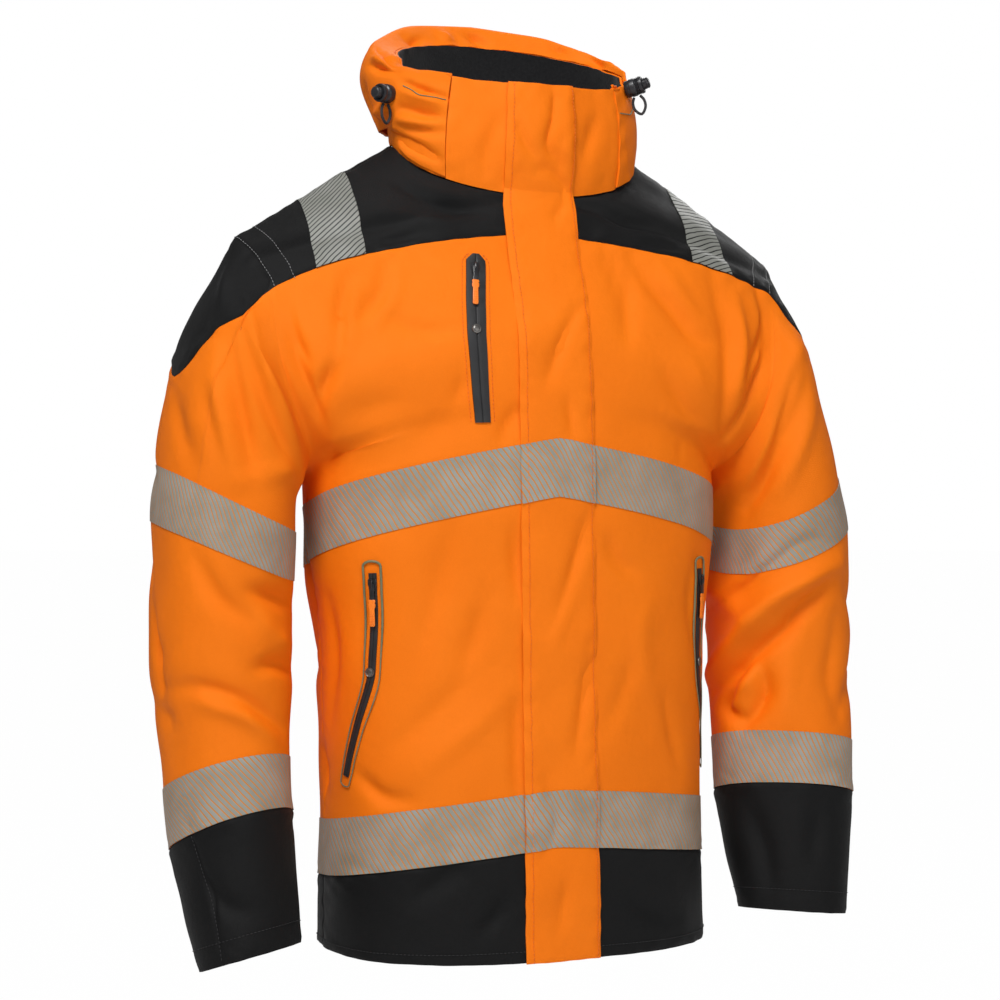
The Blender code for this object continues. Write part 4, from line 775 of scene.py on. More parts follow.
BACK_BELOW = {"underarm_back", "chest_tape_top_back", "chest_tape_bottom_back", "waist_back",
              "hem_tape_top_back", "hem_tape_bottom_back"}
SEAM_ROW_NAMES = {band.first for band in TORSO_PANELS} | {band.last for band in TORSO_PANELS}


def torso_rows():
    """Places of every row of the torso, the smooth columns there, and the named rows' indices."""
    knots = lengths([[(r.x0 + r.x1) / 2, (r.y0 + r.y1) / 2, (r.z0 + r.z1) / 2] for r in TORSO])
    columns = np.array([r[1:] for r in TORSO], float)
    counts = [max(1, round(step / GRID)) for step in np.diff(knots)]
    places, names = [], {}
    for k, row in enumerate(TORSO[:-1]):
        names[row.name] = len(places)
        count = counts[min(k, len(counts) - 1 - k)] if row.name in BACK_BELOW else counts[k]
        places += graded(knots[k], knots[k + 1], count, row.name in SEAM_ROW_NAMES,
                         TORSO[k + 1].name in SEAM_ROW_NAMES)
    names[TORSO[-1].name] = len(places)
    return smooth_columns(knots, columns, places + [knots[-1]]), names


def row_point(row, x):
    """The point of a torso row at the given x, on the wearer's left."""
    x0, y0, z0, x1, y1, z1, power, end_deg, fall, _ = row
    end = radians(end_deg)
    share = min(max((x - x0) / (x1 - x0), 0.0), 1.0)
    turn = asin(min(share * sin(end)**(2 / power), 1.0)**(power / 2)) if share < 1 else end
    depth = (1 - max(cos(turn), 0.0)**(2 / power)) / (1 - max(cos(end), 0.0)**(2 / power))
    return x, y0 + (y1 - y0) * depth, z0 + (z1 - z0) * (turn / end)**fall


def tape_edges(row, side):
    """The shoulder tape's edges as shares of a row; below the yoke they keep the yoke edge's share."""
    inner = SHOULDER_TAPE_IN if side < 0 else SHOULDER_TAPE_IN - LEFT_TAPE_SHIFT
    outer = inner + SHOULDER_TAPE_ACROSS
    x0, _, z0, x1, _, z1 = row[:6]
    yoke = TORSO[[r.name for r in TORSO].index("yoke_edge_front")]
    if z0 + z1 < yoke.z0 + yoke.z1 - YOKE_DEPTH:
        return inner / yoke.x1, outer / yoke.x1
    return (inner - x0) / (x1 - x0), (outer - x0) / (x1 - x0)


def row_columns(row, side):
    """The x of every column of a torso row, evenly turned within its three groups."""
    x0, _, _, x1, _, _, power, end_deg, _, _ = row
    end = radians(end_deg)
    reach = sin(end)**(2 / power)
    low, high = tape_edges(row, side)
    turns = [asin(min(q * reach, 1)**(power / 2)) for q in (0.0, low, high)] + [end]
    stops = spread(turns, (COLUMNS_INNER, COLUMNS_TAPE, COLUMNS_OUTER))
    stops += [turns[2] + (end - turns[2]) * share for share in SEAM_COLUMNS]
    return [x0 + (x1 - x0) * sin(t)**(2 / power) / reach for t in sorted(stops)[:-1]] + [x1]


def in_band(bands, names, i):
    for band in bands:
        if names[band.first] <= i < names[band.last]:
            return band.name
    return None


def hand_of(side):
    return "_left" if side > 0 else "_right"


def add_torso(cloth, side):
    """Half a torso; returns the armhole's points down the front and up the back, and the neck's."""
    table, names = torso_rows()
    rows = []
    for row in table:
        row[5] += side * row[9]
        points = [row_point(row, x) for x in row_columns(row, side)]
        rows.append([(side * x, y, z) for x, y, z in points])
    below = names["underarm_front"]
    for i in range(below + 1):
        rows[-1 - i][-1] = rows[i][-1]
    tape_columns = range(COLUMNS_INNER, COLUMNS_INNER + COLUMNS_TAPE)

    def label(i, j):
        panel = in_band(TORSO_PANELS, names, i)
        tape = in_band(TORSO_TAPES, names, i)
        if panel.startswith("yoke") and j in tape_columns:
            tape = "shoulder_tape"
        hand = "" if panel in ("yoke_back", "back", "hem_back") else hand_of(side)
        return panel + hand, tape and tape + hand_of(side)

    cloth.grid(rows, label, side, bases=[base_row(names, i) for i in range(len(rows) - 1)])
    outer = [row[-1] for row in rows]
    front = outer[below:names["shoulder"] + 1][::-1]
    back = outer[names["shoulder"]:names["underarm_back"] + 1][::-1]
    yoke_front = names["shoulder"] - names["yoke_edge_front"]
    yoke_back = names["yoke_edge_back"] - names["shoulder"]
    return front, back, yoke_front, yoke_back


def base_row(names, i):
    """The first row of the tape or panel that a row of torso cells is in. The yokes count as one."""
    for band in TORSO_TAPES + TORSO_PANELS:
        if names[band.first] <= i < names[band.last]:
            return names["yoke_edge_front" if band.name == "yoke_back" else band.first]


def bases_after(stops, count):
    """For each row of cells between count rows of points, the last of the stops at or before it."""
    return [max(stop for stop in stops if stop <= i) for i in range(count - 1)]


def signed_power(share, power):
    return (1 if share >= 0 else -1) * abs(share)**power


def ring_point(ring, turn, side):
    """A point of a sleeve ring, turn radians round from its outermost point towards the front."""
    right = 1 if side < 0 else 0
    out = np.array([ring.out_x - right * ring.right_out, ring.out_y, ring.out_z])
    inn = np.array([ring.in_x - right * ring.right_in, ring.in_y, ring.in_z - right * ring.right_drop])
    lift = ring.lift + right * ring.right_lift
    arm = (out - inn) / 2
    fore = np.array([arm[1], -arm[0], 0.0])
    fore = fore / np.linalg.norm(fore) * ring.half_depth + np.array([0.0, 0.0, lift])
    c, s = (signed_power(share, 2 / SLEEVE_POWER) for share in (cos(turn), sin(turn)))
    p = (out + inn) / 2 + arm * c + fore * s
    return side * p[0], p[1], p[2]


def sleeve_places(knots, index, head, cap_rows):
    """Places down one line of the sleeve, the same number for every line."""
    cap_end = knots[index["cap_seam"]] * head
    places = [cap_end * k / cap_rows for k in range(cap_rows)]
    stops = [cap_end] + list(knots[index["tape_top"]:])
    counts = [SLEEVE_UPPER_ROWS]
    counts += [round(r.steps * SLEEVE_ROWS_A_STEP) for r in SLEEVE[index["tape_top"]:-1]]
    shares = [SEAM_SHARES, (), (), (), (), SEAM_SHARES]
    for k, count in enumerate(counts):
        reach = stops[k + 1] - stops[k]
        rows = sorted([i / count for i in range(count)] + list(shares[k]))
        places += [stops[k] + reach * share for share in rows]
    return places + [stops[-1]], [c + len(s) for c, s in zip(counts, shares)]


def add_sleeve(cloth, side, front, back, yoke_front, yoke_back):
    """A sleeve from the armhole's points to the cuff, with the black sleeve head at its top."""
    ring0 = front + back[1:]
    front_len, back_len = lengths(front), lengths(back)
    turns = [pi * s / front_len[-1] for s in front_len]
    turns += [pi + pi * s / back_len[-1] for s in back_len[1:]]
    index = {r.name: k for k, r in enumerate(SLEEVE)}
    last = len(ring0) - 1
    grid = []
    for j, turn in enumerate(turns):
        line = [ring0[j]] + [ring_point(r, turn, side) for r in SLEEVE[1:]]
        knots = lengths(line)
        from_tip = j / yoke_front if j <= last / 2 else (last - j) / yoke_back
        head = cos(pi / 2 * from_tip)**HEAD_ROUND if from_tip < 1 else 0.0
        places, counts = sleeve_places(knots, index, head, CAP_ROWS)
        grid.append(smooth_columns(knots, line, places))
    rows = np.array(grid).transpose(1, 0, 2)
    ends = {"tape_top": CAP_ROWS + counts[0]}
    lower = SLEEVE[index["tape_top"]:]
    for ring, following, count in zip(lower, lower[1:], counts[1:]):
        ends[following.name] = ends[ring.name] + count
    hand = hand_of(side)

    def label(i, _):
        tape = in_band(SLEEVE_TAPES, ends, i)
        if i < CAP_ROWS:
            panel = "sleeve_head"
        elif i >= ends["cuff_tape_bottom"]:
            panel = "cuff"
        else:
            panel = "sleeve"
        return panel + hand, tape and tape + hand

    cloth.grid(rows, label, side, side, bases_after([0, CAP_ROWS, *ends.values()], len(rows)))


def add_side(cloth, side):
    """Half a torso and its sleeve; returns what add_torso does."""
    ends = add_torso(cloth, side)
    add_sleeve(cloth, side, *ends)
    return ends


def outward(turn):
    return np.array([sin(radians(turn)), -cos(radians(turn)), 0.0])


def collar_point(turn, share):
    """A point of the collar wall, share of the way from the neck seam to the rim."""
    side = 1 if turn >= 0 else -1
    low, high = np.array(neck_point(abs(turn))), np.array(rim_point(abs(turn)))
    p = low + (high - low) * share + np.array([0.0, 0.0, COLLAR_LIFT]) * (1 - share)
    p[0] *= side
    return p + outward(turn) * COLLAR_BULGE * 4 * share * max(1 - share, 0.0)


def collar_cloth(turns, low=0.0):
    """The collar as a closed ring, from a share of its height up to the rim."""
    cloth = Cloth()
    shares = [low + (1 - low) * k / COLLAR_ROWS for k in range(COLLAR_ROWS + 1)]
    rows = [[collar_point(t, share) for t in turns] for share in shares]

    def label(_, j):
        middle = (turns[j] + turns[j + 1]) / 2
        if abs(middle) > COLLAR_SEAM_DEG:
            return "collar_back", None
        return "collar_front" + hand_of(middle), None

    cloth.grid(rows, label, 1)
    cloth.settle()
    return cloth


def hood_cloth(turns):
    """The hood, from the collar's rim up over its crest and down outside to its lower edge."""
    right = np.array([r for r in HOOD if r.turn < 0], float)
    left = np.array([r for r in HOOD if r.turn > 0], float)
    clear = CLOTH + 2 * LAY_GAP
    columns = []
    for turn in turns:
        half = right if turn < 0 else left
        roll = Roll(turn, *smooth_columns(half[:, 0], half[:, 1:], [turn])[0])
        foot_z, rim_z = collar_point(turn, 0.0)[2], collar_point(turn, 1.0)[2]
        height = rim_z - foot_z
        line = [((RIM_GAP + height) / height, RIM_OUT),
                (1 + roll.crest_up / height, roll.crest_out + clear / 2),
                ((roll.belly_z - foot_z) / height, roll.belly_out + clear),
                (roll.foot_up / height, roll.foot_out + clear)]
        column = smooth_line([(0.0, *p) for p in line], HOOD_ROWS)
        columns.append([collar_point(turn, share) + outward(turn) * out for _, share, out in column])
    rows = np.array(columns).transpose(1, 0, 2)
    cloth = Cloth()
    cloth.grid(rows, lambda *_: ("hood", None), -1)
    cloth.settle()
    return cloth


def flap_cloth():
    """The storm flap over the zip, from the hem up the front and over the collar to its rim."""
    table, names = torso_rows()
    shares = [2 * k / FLAP_COLUMNS - 1 for k in range(FLAP_COLUMNS + 1)]
    rows = []
    for row in table[:names["neck_front"]]:
        rows.append([(x, *row_point(row, abs(x))[1:]) for x in (FLAP_HALF_WIDTH * s for s in shares)])
    for k in range(COLLAR_ROWS + 1):
        height = max(k / COLLAR_ROWS, FLAP_NECK_SHARE)
        turns = [degrees(asin(FLAP_COLLAR_HALF_WIDTH * share / NECK_HALF_WIDTH)) for share in shares]
        rows.append([tuple(collar_point(turn, height)) for turn in turns])
    cloth = Cloth()
    stops = [0] + [names[name] for band in FLAP_TAPES for name in (band.first, band.last)]
    cloth.grid(rows, lambda i, _: ("flap", in_band(FLAP_TAPES, names, i)), 1,
               bases=bases_after(stops, len(rows)))
    cloth.settle()
    return cloth


# ------------------------------------------------------------------ creases
# A crease: the group of cloth it is in, its points, its half width and depth in millimetres, and how
# sharp it is, from 0 for a soft roll to 1 for a tight fold. A negative depth is a ridge.
Crease = namedtuple("Crease", "on points half_width depth sharp", defaults=[0.0])
BODY, NEAR, FAR, ANY = 0, -1, 1, None
WHOLE = 0                 # the one group of the flap, the collar or the hood

# Creases seen from the camera: points in the 1000 by 1000 frame.
SEEN_CREASES = [
    # sleeve nearest the camera, the wearer's right
    (ANY, [(258, 300), (268, 345), (290, 395), (312, 437), (327, 457)], 7, 4.5, 0.4),
    (ANY, [(283, 330), (300, 368), (316, 408), (333, 452)], 8, 4.6, 0.6),
    (ANY, [(276, 330), (290, 372), (303, 405)], 7, -2.5),
    (NEAR, [(300, 404), (309, 440), (308, 480), (305, 520), (297, 572)], 17, -8.0),
    (ANY, [(246, 296), (256, 340), (274, 388)], 6, -1.6),
    (ANY, [(240, 300), (246, 345), (262, 400), (284, 446)], 6, 2.4, 0.3),
    (ANY, [(286, 312), (296, 336), (308, 360)], 5, 2.6, 0.4),
    (NEAR, [(228, 335), (235, 385), (245, 430), (256, 475)], 12, 4.2, 0.2),
    (NEAR, [(252, 330), (262, 380), (278, 430), (296, 468)], 6, 2.6, 0.4),
    (NEAR, [(205, 385), (212, 425), (226, 470)], 7, 1.5, 0.1),
    (NEAR, [(213, 372), (224, 430), (232, 480)], 12, -2.0),
    (NEAR, [(174, 400), (192, 462)], 12, 2.0),
    (NEAR, [(243, 480), (285, 470), (318, 476)], 10, -2.5),
    (NEAR, [(196, 560), (220, 600), (252, 622)], 10, 2.4, 0.1),
    (NEAR, [(252, 592), (272, 596), (292, 604)], 9, 6.5, 0.3),
    (NEAR, [(262, 622), (282, 640), (294, 650)], 10, -2.5),
    (NEAR, [(258, 668), (275, 664), (292, 668)], 8, 4.5, 0.3),
    (NEAR, [(158, 688), (200, 688), (238, 698), (262, 712), (282, 728)], 8, 2.6, 0.3),
    (NEAR, [(200, 702), (240, 714), (272, 738)], 9, -2.6),
    (NEAR, [(153, 610), (160, 690)], 8, 2.5),
    (NEAR, [(196, 262), (188, 300), (205, 335)], 10, 2.5),
    (NEAR, [(230, 262), (222, 300)], 8, -2.0),
    (NEAR, [(205, 880), (225, 905), (260, 915)], 9, 1.8),
    (NEAR, [(189, 828), (204, 876), (212, 900), (222, 962)], 3, 0.8, 0.4),
    # sleeve furthest from the camera, the wearer's left
    (ANY, [(790, 318), (776, 345), (762, 374), (748, 405), (726, 440)], 8, 5.0, 0.5),
    (ANY, [(800, 345), (784, 372), (768, 404), (752, 440)], 9, -3.4),
    (ANY, [(796, 360), (782, 420), (764, 470), (744, 508)], 9, 4.0, 0.1),
    (FAR, [(812, 400), (800, 450), (780, 490)], 10, -2.0),
    (ANY, [(757, 286), (768, 322), (764, 350)], 7, 2.4),
    (ANY, [(736, 300), (742, 340), (738, 390)], 9, -2.5),
    (ANY, [(776, 300), (762, 340), (748, 376)], 6, 2.6, 0.3),
    (FAR, [(806, 380), (790, 430), (768, 478), (742, 522)], 7, 2.6, 0.3),
    (ANY, [(784, 400), (770, 446), (750, 486)], 7, -2.2),
    (FAR, [(820, 538), (797, 544), (778, 557), (761, 571), (750, 583), (730, 598), (712, 611)], 5, 4.0, 0.6),
    (FAR, [(784, 545), (762, 562), (744, 578), (720, 594)], 7, -2.0),
    (FAR, [(838, 562), (808, 578), (770, 602), (738, 638), (710, 676)], 13, -6.0),
    (FAR, [(826, 584), (800, 610), (785, 630), (761, 648), (738, 671), (714, 692)], 10, 6.0, 0.2),
    (FAR, [(754, 664), (746, 684), (734, 702)], 8, -4.0),
    (FAR, [(761, 668), (766, 690), (757, 710), (742, 728)], 8, 6.5, 0.2),
    (FAR, [(738, 690), (724, 706), (704, 720)], 8, 6.5, 0.3),
    (FAR, [(790, 660), (786, 700), (778, 726)], 12, -1.6),
    (FAR, [(718, 470), (712, 520), (708, 570), (706, 620)], 14, -5.0),
    (FAR, [(836, 620), (830, 680), (838, 716)], 10, 1.6),
    (FAR, [(748, 806), (765, 850), (770, 890)], 12, 2.0),
    (FAR, [(820, 800), (812, 860)], 12, 1.6),
    # the wearer's right front
    (BODY, [(350, 276), (343, 300), (340, 352)], 6, 3.2, 0.2),
    (BODY, [(354, 282), (350, 320), (346, 356)], 6, -1.8),
    (BODY, [(386, 268), (382, 292), (360, 320)], 8, 2.0),
    (BODY, [(396, 272), (392, 298), (372, 326)], 7, -1.2),
    (BODY, [(392, 320), (424, 330), (462, 328)], 7, 1.3),
    (BODY, [(340, 414), (366, 408), (394, 402)], 11, 0.8),
    (BODY, [(328, 500), (352, 484), (394, 470), (446, 456)], 17, -1.2),
    (BODY, [(330, 462), (354, 450), (382, 440), (416, 430)], 17, -3.4),
    (BODY, [(336, 364), (326, 384), (322, 402)], 7, 4.0, 0.2),
    (BODY, [(518, 408), (508, 424), (500, 440)], 5, 2.2, 0.2),
    (BODY, [(464, 376), (456, 402)], 5, 1.2),
    (BODY, [(452, 532), (434, 600), (418, 655)], 13, 1.5),
    (BODY, [(488, 594), (474, 640), (458, 680)], 12, 1.8),
    (BODY, [(392, 752), (434, 712), (488, 668)], 11, 1.3),
    (BODY, [(420, 770), (470, 730), (512, 690)], 12, -1.5),
    (BODY, [(358, 776), (382, 796), (412, 801)], 7, 2.8, 0.2),
    (BODY, [(514, 528), (516, 560), (517, 600)], 5, 1.6),
    (BODY, [(516, 700), (517, 760), (518, 800)], 6, 1.8),
    (BODY, [(460, 870), (436, 884), (412, 902)], 9, 2.4),
    (BODY, [(508, 898), (496, 918), (478, 934)], 8, 2.4),
    (BODY, [(328, 600), (334, 660), (330, 720)], 9, 2.0),
    (BODY, [(322, 745), (326, 790)], 8, 2.4),
    (BODY, [(372, 246), (400, 238), (428, 231)], 4, 2.0, 0.3),
    (BODY, [(398, 184), (440, 205), (488, 212)], 8, 2.2),
    (BODY, [(376, 214), (420, 218), (452, 226)], 9, -1.5),
    # the wearer's left front
    (BODY, [(606, 246), (605, 272)], 4, 1.6, 0.2),
    (BODY, [(616, 248), (614, 292)], 5, 1.6, 0.1),
    (BODY, [(630, 253), (650, 284), (674, 312), (693, 336), (710, 342)], 9, 2.4, 0.1),
    (BODY, [(662, 268), (684, 300), (706, 326)], 9, -1.4),
    (BODY, [(626, 268), (628, 340)], 10, 1.8),
    (BODY, [(664, 374), (682, 402), (702, 428)], 10, 1.8, 0.1),
    (BODY, [(690, 364), (706, 392)], 9, -1.2),
    (BODY, [(680, 440), (681, 460)], 4, 0.8, 0.1),
    (BODY, [(712, 276), (719, 306), (726, 338), (726, 400), (722, 442)], 9, 2.2, 0.1),
    (BODY, [(606, 538), (616, 558), (634, 574)], 7, 2.0),
    (BODY, [(634, 652), (624, 690), (606, 730)], 10, 0.9),
    (BODY, [(664, 696), (672, 735), (680, 772)], 8, 1.2),
    (BODY, [(696, 560), (690, 600), (694, 650)], 9, 1.2),
    (BODY, [(650, 600), (640, 640), (650, 690)], 14, -1.0),
    (BODY, [(620, 880), (640, 905), (676, 918)], 10, 2.2),
    (BODY, [(641, 245), (658, 243), (672, 247)], 4, 1.8, 0.2),
    (BODY, [(600, 205), (622, 222), (650, 226)], 8, 1.8),
]

# Creases on the sides that the camera doesn't see: points are turns from centre front, in degrees
# (negative on the wearer's right), and heights.
TURNED_CREASES = [
    (BODY, [(112, -0.275), (128, -0.235), (146, -0.205)], 12, 4.5, 0.1),
    (BODY, [(112, -0.300), (132, -0.278), (154, -0.262)], 11, 3.6, 0.1),
    (BODY, [(-110, -0.270), (-126, -0.228), (-142, -0.192)], 12, 4.8, 0.1),
    (BODY, [(-112, -0.298), (-134, -0.286), (-158, -0.250)], 11, 3.4, 0.1),
    (BODY, [(118, -0.250), (138, -0.225), (160, -0.215)], 10, -2.4),
    (BODY, [(-118, -0.246), (-140, -0.232), (-162, -0.206)], 10, -2.4),
    (BODY, [(100, -0.452), (125, -0.476), (150, -0.462), (172, -0.484)], 14, 4.0, 0.1),
    (BODY, [(-98, -0.470), (-124, -0.446), (-150, -0.468), (-176, -0.452)], 14, 3.8, 0.1),
    (BODY, [(110, -0.520), (140, -0.505), (170, -0.532)], 15, 3.4),
    (BODY, [(-112, -0.505), (-138, -0.530), (-168, -0.512)], 15, 3.4),
    (BODY, [(120, -0.490), (150, -0.488), (178, -0.508)], 13, -2.6),
    (BODY, [(-118, -0.488), (-150, -0.498), (-178, -0.482)], 13, -2.4),
    (BODY, [(148, -0.150), (160, -0.190), (164, -0.250)], 12, 2.6),
    (BODY, [(-144, -0.148), (-156, -0.200), (-168, -0.262)], 12, 2.6),
    (BODY, [(168, -0.560), (160, -0.600), (166, -0.640)], 12, 2.4),
    (BODY, [(-154, -0.552), (-162, -0.596), (-156, -0.640)], 12, 2.6),
    (BODY, [(130, -0.665), (136, -0.705)], 12, 2.2),
    (BODY, [(-136, -0.660), (-128, -0.704)], 12, 2.2),
    (BODY, [(98, -0.330), (92, -0.400), (96, -0.460)], 10, 3.0, 0.1),
    (BODY, [(-100, -0.340), (-94, -0.395), (-98, -0.450)], 10, 3.0, 0.1),
    (BODY, [(88, -0.500), (94, -0.560), (90, -0.620)], 11, 2.6),
    (FAR, [(115, -0.225), (105, -0.270), (90, -0.300)], 11, 4.0, 0.1),
    (FAR, [(120, -0.300), (100, -0.330)], 11, 3.4, 0.1),
    (FAR, [(125, -0.420), (104, -0.436), (84, -0.470)], 11, 5.0, 0.2),
    (FAR, [(122, -0.470), (100, -0.478), (82, -0.500)], 11, 4.2, 0.2),
    (FAR, [(118, -0.445), (98, -0.456)], 10, -2.6),
    (FAR, [(80, -0.400), (86, -0.450), (78, -0.520)], 12, 2.4),
    (FAR, [(110, -0.640), (95, -0.660)], 11, 2.4),
    (NEAR, [(-115, -0.215), (-106, -0.265), (-92, -0.305)], 11, 4.0, 0.1),
    (NEAR, [(-120, -0.295), (-102, -0.335)], 11, 3.4, 0.1),
    (NEAR, [(-124, -0.400), (-106, -0.424), (-88, -0.450)], 11, 4.8, 0.2),
    (NEAR, [(-120, -0.462), (-102, -0.474), (-86, -0.505)], 11, 4.4, 0.2),
    (NEAR, [(-116, -0.436), (-100, -0.450)], 10, -2.6),
    (NEAR, [(-96, -0.350), (-92, -0.395)], 12, 2.2),
    (NEAR, [(-108, -0.645), (-96, -0.668)], 11, 2.2),
]

FLAP_CREASES = [
    (WHOLE, [(552, 88), (552, 118), (546, 145), (560, 166)], 5, 2.4, 0.2),
    (WHOLE, [(566, 92), (566, 160), (569, 190)], 4, -1.2),
    (WHOLE, [(532, 171), (546, 169), (558, 178), (566, 192)], 4, 2.0, 0.3),
    (WHOLE, [(548, 220), (556, 216), (563, 204)], 4, 1.8, 0.3),
    (WHOLE, [(515, 120), (524, 142), (536, 160)], 6, 1.6),
    (WHOLE, [(577, 308), (562, 340), (546, 380)], 7, 1.9, 0.1),
    (WHOLE, [(566, 400), (572, 436)], 5, 1.4),
    (WHOLE, [(588, 512), (574, 560), (557, 622)], 7, 1.9, 0.1),
    (WHOLE, [(572, 585), (562, 616), (552, 644)], 6, -1.2),
    (WHOLE, [(590, 656), (582, 700), (575, 748)], 7, 2.0, 0.1),
    (WHOLE, [(545, 780), (556, 820), (548, 850)], 8, 1.4),
    (WHOLE, [(565, 880), (558, 930)], 8, 1.2),
]
COLLAR_CREASES = [
    (WHOLE, [(500, 117), (488, 148), (485, 176)], 8, 1.6),
    (WHOLE, [(597, 118), (590, 140), (584, 158)], 7, 1.8),
]
HOOD_CREASES = [
    (WHOLE, [(377, 46), (386, 56), (395, 68)], 6, 4.5, 0.3),
    (WHOLE, [(361, 60), (374, 66), (394, 71)], 6, 4.5, 0.2),
    (WHOLE, [(366, 52), (378, 60), (392, 69)], 6, -2.5),
    (WHOLE, [(404, 36), (414, 42), (424, 46)], 6, 3.4, 0.2),
    (WHOLE, [(468, 34), (478, 40), (486, 47)], 6, 4.4, 0.2),
    (WHOLE, [(440, 32), (446, 38), (450, 44)], 6, -2.4),
    (WHOLE, [(372, 128), (385, 119), (400, 108)], 6, 5.0, 0.4),
    (WHOLE, [(368, 118), (380, 112), (392, 108)], 6, -2.6),
    (WHOLE, [(364, 86), (368, 106), (372, 124)], 7, 3.4, 0.1),
    (WHOLE, [(380, 140), (396, 138), (420, 146)], 6, 4.0, 0.2),
    (WHOLE, [(404, 82), (424, 90), (447, 98)], 4, 2.4, 0.3),
    (WHOLE, [(402, 92), (422, 98), (444, 104)], 5, -1.8),
    (WHOLE, [(402, 108), (422, 114), (443, 117)], 5, 2.6, 0.2),
    (WHOLE, [(398, 127), (424, 131), (441, 132)], 5, 2.4, 0.1),
    (WHOLE, [(392, 118), (410, 122), (432, 125)], 5, -1.6),
    (WHOLE, [(404, 145), (424, 152), (439, 160)], 5, 2.6, 0.1),
    (WHOLE, [(518, 39), (518, 51)], 2, 1.6, 0.6),
    (WHOLE, [(556, 47), (562, 54)], 6, 2.4),
    (WHOLE, [(590, 58), (602, 68)], 6, 2.6),
]


# ------------------------------------------------------------------ finishes
ORANGE = (0.970, 0.205, 0.0035)
ORANGE_WORN = (0.900, 0.180, 0.003)
BLACK = (0.0044, 0.0044, 0.0046)
BLACK_WORN = (0.0078, 0.0078, 0.0081)
# The tapes' film: a lighter grey, laid in cloudy patches as painted sheen for its glossy highlights, and its
# darker plain grey.
TAPE_GREY_AND_SHEEN = (0.330, 0.334, 0.305)
TAPE_DULL = (0.262, 0.268, 0.235)
TAPE_BETWEEN = (0.640, 0.225, 0.020)
SHOULDER_SHADE = 0.80     # the shoulder tapes' brightness, as a share of the others'
PIPING_GREY = (0.185, 0.200, 0.110)
THREAD_GREY = (0.300, 0.300, 0.300)
METAL_GREY = (0.180, 0.170, 0.160)
WEAVE_PITCH = 0.0010      # a pair of threads
SEGMENT_PITCH = 0.0050    # of the tape, along its length
SEGMENT_GAP = 0.21        # share of the pitch where the cloth shows
SEGMENT_SLANT = 0.625     # run along the tape for each metre across it
SEGMENT_EDGE = 0.05       # share of the pitch that a segment's soft edges take either way
SHEEN_ROUGHNESS = 0.45
# Cloudy patches: cells in a metre, detail, the part of the noise that counts, and its two values.
Patches = namedtuple("Patches", "cells detail low high to_low to_high", defaults=[0.0, 1.0])
# Bumps: cells in a metre, detail, height in metres and strength.
Relief = namedtuple("Relief", "cells detail height strength")
CLOTH_BROAD = Patches(14, 3, 0.35, 0.70)
CLOTH_HEATHER = Patches(900, 1, 0.30, 0.75, 0.0, 0.35)
BROAD_SHARE = 0.55        # of the broad patches in the cloth's shade
CLOTH_CRUMPLE = Relief(42, 4, 0.0016, 0.55)
CLOTH_FINE = Relief(160, 2, 0.0005, 0.35)
THREAD_HEIGHT, THREAD_STRENGTH = 0.00010, 0.6
CLOTH_SPECULAR = 0.16
CLOTH_ROUGHER = 0.06      # how far the roughness varies either way
TAPE_WANDER = Patches(26, 2, 0.25, 0.75, -0.0016, 0.0016)  # metres that the segments stray
# Where the lighter grey lies on the tapes: painted sheen in cloudy patches, standing for the film's glossy
# highlights.
TAPE_SHEEN_PATCHES = Patches(36, 3, 0.35, 0.68)
TAPE_CRUMPLE = Relief(46, 3, 0.0016, 0.6)
FILM_HEIGHT, FILM_STRENGTH = 0.00018, 0.8
TAPE_ROUGHNESS = (0.75, 0.44)  # of the cloth between the segments, and of the segments
TAPE_MEAN_ROUGHNESS = 0.46
TAPE_SPECULAR = 0.38
PLAIN_SHADE = Patches(110, 3, 0.35, 0.72)
PLAIN_DETAIL, PLAIN_STRENGTH = 2, 0.5
PLAIN_SMOOTHER, PLAIN_ROUGHER = 0.05, 0.08  # how far the roughness varies down and up
FLEECE_SHADE = Patches(420, 3, 0.3, 0.75)
FLEECE_NAP = Relief(700, 2, 0.0006, 0.7)
FLEECE_ROUGHNESS, FLEECE_SHEEN, FLEECE_SPECULAR = 0.95, 0.25, 0.2
FLAT_MAP = "flat"         # the layer that holds each piece's own lengths in metres


